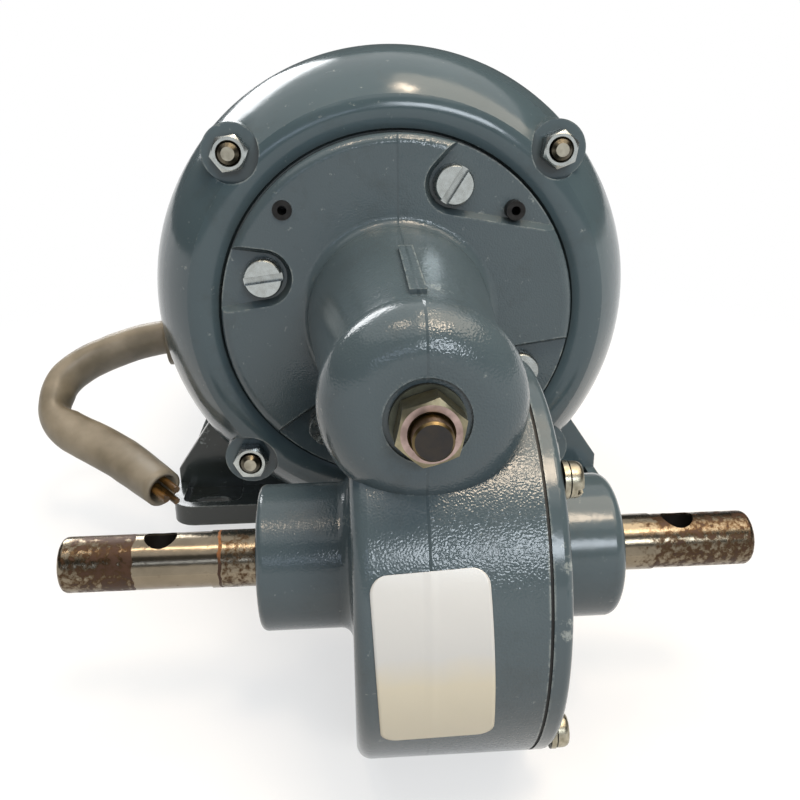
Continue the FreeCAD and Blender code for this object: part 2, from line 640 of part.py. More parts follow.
def worm():
    """Single-start right-hand worm, its thread swept along a helix and trimmed to length."""
    slope = math.tan(math.radians(PRESSURE_ANGLE))
    half = (LEAD / 2 - BACKLASH / 2) / 2
    deep = WORM_ROOT_R - THREAD_EMBED
    turns = math.ceil(WORM_LENGTH / LEAD / 2) + 1
    start = -turns * LEAD
    profile = [(r, start + s * (half + (WORM_PITCH_R - r) * slope))
               for r, s in ((deep, -1), (WORM_TIP_R, -1), (WORM_TIP_R, 1), (deep, 1))]
    wire = Part.makePolygon([V(r, 0, z) for r, z in profile + profile[:1]])
    helix = Part.makeLongHelix(LEAD, 2 * turns * LEAD, WORM_PITCH_R)
    helix.translate(V(0, 0, start))
    thread = Part.Wire(helix.Edges).makePipeShell([wire], True, True)
    room = Part.makeCylinder(2 * WORM_TIP_R, WORM_LENGTH, V(0, 0, -WORM_LENGTH / 2))
    core = Part.makeCylinder(WORM_ROOT_R, WORM_LENGTH + WORM_COLLAR, V(0, 0, -WORM_LENGTH / 2))
    solid = core.fuse(thread.common(room))
    solid = solid.cut(Part.makeCylinder(WORM_SEAT_D / 2, 3 * WORM_LENGTH, V(0, 0, -WORM_LENGTH)))
    # The thread's middle meets the axial plane below the worm, where the wheel is.
    solid.rotate(V(0, 0, 0), X_AXIS, -90)
    solid.rotate(V(0, 0, 0), Y_AXIS, 90)
    solid.translate(V(0, WHEEL_Y, SHAFT_HEIGHT))
    return solid.cut(cylinder(WORM_PIN_D / 2, -WORM_TIP_R, WORM_TIP_R, X_AXIS, worm_pin_at()))


def worm_wheel():
    """Helical worm wheel: one outline of all teeth, lofted across the twisted width."""
    slope = math.tan(math.radians(PRESSURE_ANGLE))
    half = (LEAD / 2 - BACKLASH / 2) / 2
    twist = math.degrees(WHEEL_WIDTH / 2 * MODULE / (2 * WORM_PITCH_R) / WHEEL_PITCH_R)
    corners = []
    for tooth in range(WHEEL_TEETH):
        middle = 2 * math.pi * (tooth + 0.5) / WHEEL_TEETH
        for radius, side in ((WHEEL_ROOT_R, -1), (WHEEL_TIP_R, -1), (WHEEL_TIP_R, 1), (WHEEL_ROOT_R, 1)):
            angle = middle + side * (half + (WHEEL_PITCH_R - radius) * slope) / radius
            corners.append((radius, angle))
    wires = []
    for side in (-1, 1):
        turn = math.radians(side * twist)
        # Angles run from +Z towards -Y, as a turn about +X does.
        ring = [V(side * WHEEL_WIDTH / 2, WHEEL_Y - r * math.sin(a + turn), WHEEL_Z + r * math.cos(a + turn))
                for r, a in corners]
        wires.append(Part.makePolygon(ring + ring[:1]))
    wheel = Part.makeLoft(wires, True, True)
    return wheel.cut(wheel_cylinder(WHEEL_ROOT_R - WHEEL_RIM, -WHEEL_WIDTH, WHEEL_WIDTH))


def bearing_outer(start_y):
    """Outer ring of a shielded ball bearing, with its two shields."""
    end_y = start_y + BEARING_WIDTH
    outer = BEARING_D / 2
    race = outer - RING_WALL
    lip = BEARING_BORE / 2 + RING_WALL + FREE
    return turned([
        (outer, start_y), (outer, end_y), (lip, end_y), (lip, end_y - BEARING_SHIELD),
        (race, end_y - BEARING_SHIELD), (race, start_y + BEARING_SHIELD),
        (lip, start_y + BEARING_SHIELD), (lip, start_y)], Y_AXIS)


def bearing_inner(start_y):
    bore = BEARING_BORE / 2
    return motor_ring(bore + RING_WALL, bore, start_y, start_y + BEARING_WIDTH)


# Gearbox casting and cover

def housing_profile():
    """Flange, neck and bulb as one outline about the motor axis."""
    waist_y = WHEEL_Y - NECK_WAIST
    neck_y = FLANGE_Y - NECK_FILLET
    shoulder_y = BULB_Y + BULB_ROUND
    swell_y = (waist_y + shoulder_y) / 2
    swell_r = (NECK_WAIST_R + BULB_R) / 2 + BULB_SWELL
    share = 1 / math.sqrt(2)
    front = (BULB_FACE_R + (BULB_R - BULB_FACE_R) * share, shoulder_y - BULB_ROUND * share)
    spigot_end = JOINT_Y + FLANGE_SPIGOT - SLIDE
    fillet_end = (NECK_R + NECK_FILLET, FLANGE_Y)
    fillet_mid = (NECK_R + NECK_FILLET * (1 - share), FLANGE_Y - NECK_FILLET * (1 - share))
    rim = (FLANGE_R, FLANGE_Y + FLANGE_ROUND)
    rim_top = (FLANGE_R - FLANGE_ROUND, FLANGE_Y)
    return [
        (0, spigot_end), (FLANGE_SPIGOT_R - SLIDE, spigot_end), (FLANGE_SPIGOT_R - SLIDE, JOINT_Y),
        (FLANGE_R, JOINT_Y), rim, corner(rim, (FLANGE_R, FLANGE_Y), rim_top),
        fillet_end, (fillet_mid, (NECK_R, neck_y)), (NECK_WAIST_R, waist_y),
        ((swell_r, swell_y), (BULB_R, shoulder_y)), (front, (BULB_FACE_R, BULB_Y)), (0, BULB_Y),
    ]


def boss_profile(face_x, end_x, fillet, end_round, rim_points):
    """A shaft boss that stands on a face; radius first, then the place along X."""
    way = 1 if end_x > face_x else -1
    end = (BOSS_R - end_round, end_x)
    side = (BOSS_R, end_x - way * end_round)
    base = (BOSS_R, face_x + way * fillet)
    share = 1 - 1 / math.sqrt(2)
    fillet_mid = (BOSS_R + fillet * share, face_x + way * fillet * share)
    boss = [(0, end_x), end, corner(end, (BOSS_R, end_x), side), base,
            (fillet_mid, (BOSS_R + fillet, face_x))]
    return boss + rim_points


def gear_housing():
    body = turned(housing_profile(), Y_AXIS)
    left = -DRUM_LEFT
    face_end = (DRUM_R - DRUM_ROUND, left)
    rim = (DRUM_R, left + DRUM_ROUND)
    drum = turned(boss_profile(left, -BOSS_LEFT, BOSS_FILLET, BOSS_ROUND, [
        face_end, corner(face_end, (DRUM_R, left), rim), (DRUM_R, DRUM_RIGHT), (0, DRUM_RIGHT)]), X_AXIS)
    body = body.fuse([drum, neck_pad()])
    body = body.cut([
        wheel_cylinder(DRUM_R + FREE, DRUM_RIGHT, FLANGE_R),
        motor_cylinder(WORM_BORE_R, BUSH_REAR_Y, JOINT_Y + 2 * FLANGE_SPIGOT),
        motor_cylinder(WORM_BUSH_OD / 2, BUSH_FRONT_Y, BUSH_REAR_Y + PAST),
        motor_cylinder(ADJUSTER_D / 2 + SLIDE, BULB_Y - PAST, BUSH_FRONT_Y + PAST),
        motor_cylinder(SPOT_FACE_R, BULB_Y - PAST, WASHER_SEAT_Y),
        motor_cylinder(SEAL_OD / 2, SEAL_FRONT_Y, JOINT_Y + 2 * FLANGE_SPIGOT),
        wheel_cylinder(CAVITY_R, CAVITY_LEFT, DRUM_RIGHT + PAST),
        wheel_cylinder(OUTPUT_BUSH_OD / 2, -BOSS_LEFT + SEAL_INSET + OUTPUT_SEAL_WIDTH, CAVITY_LEFT + PAST),
        wheel_cylinder(OUTPUT_SEAL_OD / 2, -BOSS_LEFT - PAST, -BOSS_LEFT + SEAL_INSET + OUTPUT_SEAL_WIDTH),
    ])
    floor = FLANGE_Y + FLANGE_POCKET
    for place, ways in zip(round_places(FLANGE_SCREW_R, FLANGE_SCREW_ANGLES), FLANGE_POCKET_WAYS):
        body = body.cut(screw_pocket(place, floor, ways))
        body = body.cut(cylinder(FLANGE_SCREW_D / 2 + SLIDE, floor - PAST, JOINT_Y + PAST, Y_AXIS, place))
    for place in round_places(PIN_R, PIN_ANGLES):
        body = body.cut(cylinder(PIN_D / 2 + SLIDE, FLANGE_Y - PAST, JOINT_Y + PAST, Y_AXIS, place))
    for place in wheel_places(COVER_SCREW_R, COVER_SCREW_ANGLES):
        tip = cover_screw_tip() - SLIDE
        body = body.cut(cylinder(COVER_SCREW_D / 2 + SLIDE, tip, DRUM_RIGHT + PAST, X_AXIS, place))
    return body


def neck_pad():
    """The low rectangular pad cast on top of the neck."""
    front, back = WHEEL_Y - PAD_FRONT, WHEEL_Y - PAD_FRONT + PAD_LENGTH
    waist_y = WHEEL_Y - NECK_WAIST
    neck_y = FLANGE_Y - NECK_FILLET
    slope = (NECK_R - NECK_WAIST_R) / (neck_y - waist_y)

    def top(y):
        return SHAFT_HEIGHT + NECK_WAIST_R + slope * (y - waist_y) + PAD_HEIGHT

    half = PAD_WIDTH / 2
    low = SHAFT_HEIGHT + WORM_BORE_R + PAST
    side = [V(-half, front, low), V(-half, back, low), V(-half, back, top(back)), V(-half, front, top(front))]
    return Part.Face(Part.makePolygon(side + side[:1])).extrude(X_AXIS * PAD_WIDTH)


def screw_pocket(place, floor, ways):
    """A round pocket with sloped walls that opens to the flange's rim between two directions, in degrees."""
    deep = FLANGE_POCKET_WIDTH / 2
    rise = floor - FLANGE_Y + PAST
    wide = deep + FLANGE_POCKET_DRAFT * rise / FLANGE_POCKET
    return Part.makeLoft([pocket_outline(place, deep, floor, ways),
                          pocket_outline(place, wide, floor - rise, ways)], True, True)


def pocket_outline(place, half, y, ways):
    """An arc behind the screw and a straight side each way, at one depth."""
    at = place + Y_AXIS * y
    low, high = ways
    start, end = at + across(low - 90) * half, at + across(high + 90) * half
    back = at - across((low + high) / 2) * half
    far_start, far_end = start + across(low) * 2 * FLANGE_R, end + across(high) * 2 * FLANGE_R
    return Part.Wire([Part.Arc(end, back, start).toShape(), Part.makeLine(start, far_start),
                      Part.makeLine(far_start, far_end), Part.makeLine(far_end, end)])


def cover_screw_tip():
    return COVER_OUT + COVER_WASHER - COVER_SCREW_LENGTH


def gear_cover():
    end = (DRUM_R - COVER_ROUND, COVER_OUT)
    side = (DRUM_R, COVER_OUT - COVER_ROUND)
    spigot_r = CAVITY_R - SLIDE
    cover = turned(boss_profile(COVER_OUT, BOSS_RIGHT, COVER_BOSS_FILLET, COVER_BOSS_ROUND, [
        end, corner(end, (DRUM_R, COVER_OUT), side), (DRUM_R, COVER_X), (spigot_r, COVER_X),
        (spigot_r, COVER_IN), (0, COVER_IN)]), X_AXIS)
    seal_in = BOSS_RIGHT - SEAL_INSET - OUTPUT_SEAL_WIDTH
    cover = cover.cut([
        wheel_cylinder(OUTPUT_BUSH_OD / 2, COVER_IN - PAST, seal_in),
        wheel_cylinder(OUTPUT_SEAL_OD / 2, seal_in, BOSS_RIGHT + PAST),
        motor_cylinder(WORM_TIP_R + FREE, WORM_FRONT_Y - FREE, WORM_REAR_Y + FREE),
    ])
    for place in wheel_places(COVER_SCREW_R, COVER_SCREW_ANGLES):
        hole = cylinder(COVER_SCREW_D / 2 + SLIDE, COVER_IN - PAST, COVER_OUT + PAST, X_AXIS, place)
        cover = cover.cut(hole)
    return cover


def cover_gasket():
    gasket = wheel_ring(DRUM_R - GASKET_INSET, CAVITY_R, DRUM_RIGHT, COVER_X)
    for place in wheel_places(COVER_SCREW_R, COVER_SCREW_ANGLES):
        hole = cylinder(COVER_SCREW_D / 2 + SLIDE, DRUM_RIGHT - PAST, COVER_X + PAST, X_AXIS, place)
        gasket = gasket.cut(hole)
    return gasket


# Fasteners

def cover_screws():
    solids = []
    seat = COVER_OUT + COVER_WASHER
    for place in wheel_places(COVER_SCREW_R, COVER_SCREW_ANGLES):
        head = cylinder(COVER_SCREW_HEAD_D / 2, seat, seat + COVER_SCREW_HEAD, X_AXIS, place)
        far = COVER_SCREW_HEAD_D
        slot = box((seat + COVER_SCREW_HEAD / 2, place.y - far, place.z - COVER_SLOT_CUT / 2),
                   (seat + 2 * COVER_SCREW_HEAD, place.y + far, place.z + COVER_SLOT_CUT / 2))
        slot.rotate(place, X_AXIS, COVER_SLOT_TURN)
        shank = cylinder(COVER_SCREW_D / 2, cover_screw_tip(), seat, X_AXIS, place)
        solids.append(head.cut(slot).fuse(shank))
    return solids


def cover_washers():
    return [cylinder(COVER_WASHER_D / 2, COVER_OUT, COVER_OUT + COVER_WASHER, X_AXIS, place).cut(
        cylinder(COVER_SCREW_D / 2 + SLIDE, COVER_OUT - PAST, COVER_OUT + COVER_WASHER + PAST, X_AXIS, place))
        for place in wheel_places(COVER_SCREW_R, COVER_SCREW_ANGLES)]


def flange_screws():
    solids = []
    seat = FLANGE_Y + FLANGE_POCKET
    top = seat - FLANGE_SCREW_HEAD
    for place, turn in zip(round_places(FLANGE_SCREW_R, FLANGE_SCREW_ANGLES), FLANGE_SLOT_TURNS):
        head = cylinder(FLANGE_SCREW_HEAD_D / 2, top, seat, Y_AXIS, place)
        far = FLANGE_SCREW_HEAD_D
        slot = box((place.x - far, top - PAST, place.z - FLANGE_SLOT_CUT / 2),
                   (place.x + far, top + FLANGE_SCREW_HEAD / 2, place.z + FLANGE_SLOT_CUT / 2))
        slot.rotate(place, Y_AXIS, turn)
        shank = cylinder(FLANGE_SCREW_D / 2, seat, seat + FLANGE_SCREW_LENGTH, Y_AXIS, place)
        solids.append(head.cut(slot).fuse(shank))
    return solids


def locating_pins():
    start = FLANGE_Y - PIN_PROUD
    return [cylinder(PIN_D / 2, start, start + PIN_LENGTH, Y_AXIS, place).cut(
        cylinder(PIN_BORE / 2, start - PAST, start + PIN_LENGTH + PAST, Y_AXIS, place))
        for place in round_places(PIN_R, PIN_ANGLES)]


def tie_nuts(side):
    ends = sorted((side * (HALF_HOUSING + STUD_SEAT), side * (HALF_HOUSING + NUT_FACE)))
    return [hexagon(NUT_AF, STUD_D + 2 * SLIDE, ends[0], ends[1], place, turn)
            for place, turn in zip(stud_places(), TIE_NUT_TURNS)]


def tie_stud(place):
    """A stud through the whole motor, with a bevel at both ends."""
    straight = STUD_END_Y - STUD_POINT
    stud = cylinder(STUD_D / 2, -straight, straight, Y_AXIS, place)
    for way in (-1, 1):
        point = Part.makeCone(STUD_D / 2, STUD_D / 2 - STUD_POINT, STUD_POINT,
                              place + Y_AXIS * way * straight, Y_AXIS * way)
        stud = stud.fuse(point)
    return stud


def adjuster_screw(end_y, tip_y):
    straight = end_y + ADJUSTER_POINT
    point = Part.makeCone(ADJUSTER_D / 2, ADJUSTER_D / 2 - ADJUSTER_POINT, ADJUSTER_POINT,
                          V(0, straight, SHAFT_HEIGHT), -Y_AXIS)
    return motor_cylinder(ADJUSTER_D / 2, straight, tip_y).fuse(point)


# Output shaft group

def output_shaft():
    half = OUTPUT_LENGTH / 2
    seat_left = CAVITY_LEFT + THRUST_WASHER + END_FLOAT
    end, journal, seat = OUTPUT_D / 2, OUTPUT_JOURNAL_D / 2, OUTPUT_SEAT_D / 2
    step_left, step_right = -BOSS_LEFT - SHOULDER_LEFT, BOSS_RIGHT + SHOULDER_RIGHT
    rim = end - SHAFT_ROUND
    shaft = turned([
        (0, -half), (rim, -half),
        corner((rim, -half), (end, -half), (end, -half + SHAFT_ROUND)), (end, step_left),
        (journal, step_left), (journal, seat_left), (seat, seat_left), (seat, HUB_RIGHT),
        (journal, HUB_RIGHT), (journal, step_right), (end, step_right), (end, half - SHAFT_ROUND),
        corner((end, half - SHAFT_ROUND), (end, half), (rim, half)), (0, half)], X_AXIS)
    for x in (-half + CROSS_HOLE_LEFT, half - CROSS_HOLE_RIGHT):
        at = V(x, WHEEL_Y, WHEEL_Z)
        shaft = shaft.cut(cylinder(CROSS_HOLE_D / 2, -OUTPUT_D, OUTPUT_D, Z_AXIS, at))
    return shaft.cut(wheel_key())


def wheel_key():
    """Half in the shaft, half in the hub."""
    low = WHEEL_Z + OUTPUT_SEAT_D / 2 - KEY_HEIGHT / 2
    start = HUB_RIGHT - KEY_LENGTH - KEY_SETBACK
    return box((start, WHEEL_Y - KEY_WIDTH / 2, low),
               (start + KEY_LENGTH, WHEEL_Y + KEY_WIDTH / 2, low + KEY_HEIGHT))


def wheel_hub():
    left = CAVITY_LEFT + THRUST_WASHER + END_FLOAT
    hub = wheel_cylinder(HUB_R, left, HUB_RIGHT)
    plate = wheel_cylinder(WHEEL_ROOT_R - WHEEL_RIM, -WHEEL_WIDTH / 2, WHEEL_WIDTH / 2)
    hub = hub.fuse(plate).cut(wheel_cylinder(OUTPUT_SEAT_D / 2, left - PAST, HUB_RIGHT + PAST))
    low = WHEEL_Z + OUTPUT_SEAT_D / 2 - KEY_HEIGHT / 2
    keyway = box((left - PAST, WHEEL_Y - KEY_WIDTH / 2, low),
                 (HUB_RIGHT + PAST, WHEEL_Y + KEY_WIDTH / 2, low + KEY_HEIGHT))
    return hub.cut(keyway)


def spacer_sleeve():
    end = COVER_IN - THRUST_WASHER - END_FLOAT
    return wheel_ring(HUB_R - SPACER_STEP, OUTPUT_JOURNAL_D / 2 + SLIDE, HUB_RIGHT, end)


def output_bush(side):
    if side < 0:
        start, end = -BOSS_LEFT + SEAL_INSET + OUTPUT_SEAL_WIDTH, CAVITY_LEFT
    else:
        start, end = COVER_IN, BOSS_RIGHT - SEAL_INSET - OUTPUT_SEAL_WIDTH
    return wheel_ring(OUTPUT_BUSH_OD / 2, OUTPUT_JOURNAL_D / 2 + RUN, start, end)


def output_seal(side):
    if side < 0:
        start = -BOSS_LEFT + SEAL_INSET
    else:
        start = BOSS_RIGHT - SEAL_INSET - OUTPUT_SEAL_WIDTH
    return wheel_ring(OUTPUT_SEAL_OD / 2, OUTPUT_JOURNAL_D / 2 + RUN, start, start + OUTPUT_SEAL_WIDTH)


def thrust_washers():
    bore = OUTPUT_JOURNAL_D / 2 + SLIDE
    return [wheel_ring(THRUST_WASHER_D / 2, bore, CAVITY_LEFT, CAVITY_LEFT + THRUST_WASHER),
            wheel_ring(THRUST_WASHER_D / 2, bore, COVER_IN - THRUST_WASHER, COVER_IN)]


# Cable

def route_wire(points):
    """Straight runs joined by tangent arcs, each as large as its two runs allow."""
    points = [V(*p) for p in points]
    edges, radii = [], []
    here = points[0]
    for before, bend, after in zip(points, points[1:], points[2:]):
        way_in = (bend - before).normalize()
        way_out = (after - bend).normalize()
        turn = way_in.getAngle(way_out)
        trim = BEND_SHARE * min((bend - before).Length, (after - bend).Length)
        radius = trim / math.tan(turn / 2)
        radii.append(radius)
        start, end = bend - way_in * trim, bend + way_out * trim
        inward = (way_out - way_in).normalize()
        middle = bend + inward * (radius / math.cos(turn / 2) - radius)
        edges.append(Part.LineSegment(here, start).toShape())
        edges.append(Part.Arc(start, middle, end).toShape())
        here = end
    edges.append(Part.LineSegment(here, points[-1]).toShape())
    return Part.Wire(edges), radii


def tube(points, diameter):
    path, radii = route_wire(points)
    way = V(*points[1]) - V(*points[0])
    ring = Part.Wire(Part.makeCircle(diameter / 2, V(*points[0]), way))
    solid = path.makePipeShell([ring], True, False)
    share = solid.Volume / (math.pi * diameter ** 2 / 4 * path.Length)
    print("tube length", round(path.Length, 1), "volume share", round(share, 4),
          "radii", [round(r, 1) for r in radii])
    return solid


def cable_start():
    return (-GLAND_PAD_X - GROMMET_FLANGE, CABLE_Y, CABLE_Z)


def cable_grommet():
    at = V(0, CABLE_Y, CABLE_Z)
    hole = SLEEVE_D / 2 + GROMMET_WALL
    stem_end = -math.sqrt(HOUSING_IN_R ** 2 - (SHAFT_HEIGHT - CABLE_Z + hole) ** 2)
    stem = cylinder(hole, -GLAND_PAD_X, stem_end, X_AXIS, at)
    flange = cylinder(GROMMET_FLANGE_D / 2, -GLAND_PAD_X - GROMMET_FLANGE, -GLAND_PAD_X, X_AXIS, at)
    return stem.fuse(flange)


def cable_sleeve():
    sleeve = tube([cable_start()] + CABLE_ROUTE, SLEEVE_D)
    tip, before = V(*CABLE_ROUTE[-1]), V(*CABLE_ROUTE[-2])
    way = (before - tip).normalize()
    return sleeve.cut(Part.makeCylinder(SLEEVE_BORE / 2, SLEEVE_BORE_DEPTH, tip, way))


def lead_wires():
    tip, before = V(*CABLE_ROUTE[-1]), V(*CABLE_ROUTE[-2])
    way = (tip - before).normalize()
    across = way.cross(Z_AXIS).normalize()
    up = across.cross(way)
    start = tip - way * (SLEEVE_BORE_DEPTH - SLIDE)
    solids = []
    for i in range(WIRE_COUNT):
        turn = 2 * math.pi * i / WIRE_COUNT
        shift = (across * math.cos(turn) + up * math.sin(turn)) * WIRE_CIRCLE_R
        solids.append(Part.makeCylinder(WIRE_D / 2, SLEEVE_BORE_DEPTH + WIRE_PROUD, start + shift, way))
    return solids


os.makedirs("parts", exist_ok=True)

export("gear_housing", gear_housing())
export("gear_cover", gear_cover())
export("cover_gasket", cover_gasket())
export("cover_screws", *cover_screws())
export("cover_washers", *cover_washers())
export("flange_screws", *flange_screws())
export("locating_pins", *locating_pins())

nut_y = WASHER_SEAT_Y - ADJUSTER_WASHER
axis_at = V(0, 0, SHAFT_HEIGHT)
nut_end = nut_y - ADJUSTER_NUT
screw_tip = JOURNAL_END_Y - BALL_PROUD - CONTACT
export("adjuster_washer", motor_ring(ADJUSTER_WASHER_D / 2, ADJUSTER_D / 2 + SLIDE, nut_y, WASHER_SEAT_Y))
bore = ADJUSTER_D + 2 * SLIDE
export("adjuster_nut", hexagon(ADJUSTER_NUT_AF, bore, nut_end, nut_y, axis_at, ADJUSTER_NUT_TURN))
export("adjuster_screw", adjuster_screw(nut_end - ADJUSTER_PROUD, screw_tip))
export("worm_bush", motor_ring(WORM_BUSH_OD / 2, JOURNAL_D / 2 + RUN, BUSH_FRONT_Y, BUSH_REAR_Y))
export("motor_seal", motor_ring(SEAL_OD / 2, BEARING_BORE / 2 + RUN, SEAL_FRONT_Y, SEAL_FRONT_Y + SEAL_WIDTH))
for name, side in (("left", -1), ("right", 1)):
    export("output_bush_" + name, output_bush(side))
    export("output_seal_" + name, output_seal(side))
    export("foot_" + name, foot(side))
export("thrust_washers", *thrust_washers())

export("front_shield", front_shield())
export("rear_shield", shield_side(False))
export("stator_housing", stator_housing())
export("foot_screws", *foot_screws())
export("tie_studs", *[tie_stud(place) for place in stud_places()])
export("front_tie_nuts", *tie_nuts(-1))
export("rear_tie_nuts", *tie_nuts(1))
export("stator_core", stator_core())
export("stator_winding", stator_winding())
wave_at = REAR_SEAT_Y - WAVE_HEIGHT
export("wave_washer", motor_ring(BEARING_D / 2 - SLIDE, BEARING_D / 2 - WAVE_WALL, wave_at, REAR_SEAT_Y))

export("rotor_shaft", rotor_shaft())
export("worm", worm())
pin_reach = WORM_ROOT_R - SLIDE
export("worm_pin", cylinder(WORM_PIN_D / 2, -pin_reach, pin_reach, X_AXIS, worm_pin_at()))
ball_y = JOURNAL_END_Y - BALL_PROUD + THRUST_BALL_D / 2
export("thrust_ball", Part.makeSphere(THRUST_BALL_D / 2, V(0, ball_y, SHAFT_HEIGHT)))
core_half = STATOR_LENGTH / 2
export("rotor_core", motor_ring(ROTOR_R, ROTOR_SEAT_D / 2, -core_half, core_half))
ring_r = ROTOR_R - FREE
export("rotor_end_rings",
       motor_ring(ring_r, ring_r - END_RING_WALL, -core_half - END_RING_LENGTH, -core_half),
       motor_ring(ring_r, ring_r - END_RING_WALL, core_half, core_half + END_RING_LENGTH))
for name, start_y in (("front", FRONT_BEARING_Y), ("rear", REAR_BEARING_Y)):
    export(name + "_bearing_outer", bearing_outer(start_y))
    export(name + "_bearing_inner", bearing_inner(start_y))

export("output_shaft", output_shaft())
export("wheel_key", wheel_key())
export("wheel_hub", wheel_hub())
export("spacer_sleeve", spacer_sleeve())
export("worm_wheel", worm_wheel())

export("cable_grommet", cable_grommet())
export("cable_sleeve", cable_sleeve())
export("lead_wires", *lead_wires())
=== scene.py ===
# %% [markdown]
# # A foot-mounted gear motor
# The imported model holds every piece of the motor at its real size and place. This lesson gives those pieces their
# paint, metal and rust, and adds what the solids leave out: the soft cable sleeve and the silver label.

# %% Load the frame
import json
import math

import bmesh
import bpy
from mathutils import Matrix, Vector, noise


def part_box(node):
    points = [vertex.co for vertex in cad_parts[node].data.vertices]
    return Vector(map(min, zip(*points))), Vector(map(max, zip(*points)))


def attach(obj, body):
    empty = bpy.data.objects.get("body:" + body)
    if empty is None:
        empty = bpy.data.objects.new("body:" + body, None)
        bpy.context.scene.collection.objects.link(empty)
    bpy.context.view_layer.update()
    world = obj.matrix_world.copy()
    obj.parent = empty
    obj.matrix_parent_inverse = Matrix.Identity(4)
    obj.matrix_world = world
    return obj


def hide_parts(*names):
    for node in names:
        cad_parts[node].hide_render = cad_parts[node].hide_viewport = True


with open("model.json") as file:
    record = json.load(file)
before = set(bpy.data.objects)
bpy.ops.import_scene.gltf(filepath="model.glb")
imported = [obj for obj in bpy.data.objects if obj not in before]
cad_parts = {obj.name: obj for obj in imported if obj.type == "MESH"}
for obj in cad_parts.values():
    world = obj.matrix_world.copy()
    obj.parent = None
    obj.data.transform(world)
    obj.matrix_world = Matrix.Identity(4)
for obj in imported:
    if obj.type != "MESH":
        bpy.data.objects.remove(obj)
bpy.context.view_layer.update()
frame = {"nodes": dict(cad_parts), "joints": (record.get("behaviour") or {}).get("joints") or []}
nodes = frame["nodes"]
joints = {joint["name"]: joint for joint in frame["joints"]}
MM = 0.001

# %% [markdown]
# ## Camera
# The photograph was taken from close by with a phone, so its perspective is strong: the gearbox looks large and the
# motor behind it small. The camera stands where the shaft, the studs and the rims line up with the photograph.

# %% Camera
CAMERA_MM = (-13.76, -286.78, 123.33)
CAMERA_TURN = (70.151, 0.399, -4.011)
LENS_MM = 38.25
SENSOR_MM = 36

camera = bpy.data.objects.new("camera", bpy.data.cameras.new("camera"))
camera.data.lens = LENS_MM
camera.data.sensor_width = SENSOR_MM
camera.data.clip_start = 0.01
camera.location = Vector(CAMERA_MM) * MM
camera.rotation_euler = [math.radians(turn) for turn in CAMERA_TURN]
bpy.context.scene.collection.objects.link(camera)
bpy.context.scene.camera = camera
print("camera at", CAMERA_MM, "mm with a lens of", LENS_MM, "mm")

# %% [markdown]
# ## Small helpers
# Every material below is a tree of nodes. One function adds a node, sets its options and fills its inputs, where an
# input is either a plain value or the output of another node. Colours are written as the hex values that an artist
# reads off a screen, and turned to the linear values that Blender calculates with.


# %% Helpers
def linear(hex_colour):
    channels = [int(hex_colour[i:i + 2], 16) / 255 for i in (1, 3, 5)]
    return [c / 12.92 if c <= 0.04045 else ((c + 0.055) / 1.055) ** 2.4 for c in channels] + [1.0]


def add(tree, kind, inputs=(), **settings):
    made = tree.nodes.new(kind)
    for name, value in settings.items():
        setattr(made, name, value)
    for key, value in dict(inputs).items():
        if isinstance(value, bpy.types.NodeSocket):
            tree.links.new(value, made.inputs[key])
        else:
            made.inputs[key].default_value = value
    return made


def new_material(name):
    made = bpy.data.materials.new(name)
    made.use_nodes = True
    made.node_tree.nodes.clear()
    return made, made.node_tree


def finish_material(tree, shader):
    add(tree, "ShaderNodeOutputMaterial", {"Surface": shader.outputs[0]})


def paint_nodes(material, *names):
    for name in names:
        nodes[name].data.materials.clear()
        nodes[name].data.materials.append(material)


def new_piece(name, mesh, body, material):
    piece = bpy.data.objects.new(name, mesh)
    bpy.context.scene.collection.objects.link(piece)
    if material is not None:
        mesh.materials.clear()
        mesh.materials.append(material)
    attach(piece, body)
    return piece


# %% [markdown]
# ## Floor
# The wheel drum hangs lower than the feet, so on a table the motor leans back on its drum and its two rear foot ends.
# The floor is the plane that touches both. It is a dull table that sends little light back up, which keeps the motor's
# lower side dark, as it is in the photograph. Rays that look at the background, from the camera, off mirrors and
# through glass, see it as matt white with the motor's shadow, fading into plain white further out, so no edge shows.

# %% Floor
wheel_at = Vector(joints["output_spin"]["pos_m"])
drum_r = wheel_at.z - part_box("gear_housing")[0].z
heel = Vector((0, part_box("foot_left")[1].y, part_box("foot_left")[0].z))
to_wheel = heel - wheel_at
lean = math.asin(drum_r / to_wheel.length) - math.atan2(-to_wheel.z, to_wheel.y)
FLOOR_R = 0.9
GAP = 0.2 * MM

shape = bmesh.new()
bmesh.ops.create_circle(shape, cap_ends=True, segments=96, radius=FLOOR_R)
floor_mesh = bpy.data.meshes.new("floor")
shape.to_mesh(floor_mesh)
shape.free()
floor_mesh.transform(Matrix.Translation(heel - Vector((0, 0, GAP))) @ Matrix.Rotation(lean, 4, "X"))
floor = bpy.data.objects.new("floor", floor_mesh)
bpy.context.scene.collection.objects.link(floor)
print("floor leans", round(math.degrees(lean), 2), "degrees")


# %% Floor paint
def background_rays(tree):
    """1 for a ray that looks at the background: from the camera, off a mirror or through glass."""
    rays = add(tree, "ShaderNodeLightPath").outputs
    mirrored = add(tree, "ShaderNodeMath", {0: rays["Is Camera Ray"], 1: rays["Is Glossy Ray"]}, operation="MAXIMUM")
    return add(tree, "ShaderNodeMath", {0: mirrored.outputs[0], 1: rays["Is Transmission Ray"]},
               operation="MAXIMUM").outputs[0]


SHADOW_CENTRE = (0.0, -0.05, 0.0)
SHADOW_NEAR, SHADOW_FAR = 0.10, 0.30
WHITE_SHARE = 0.62

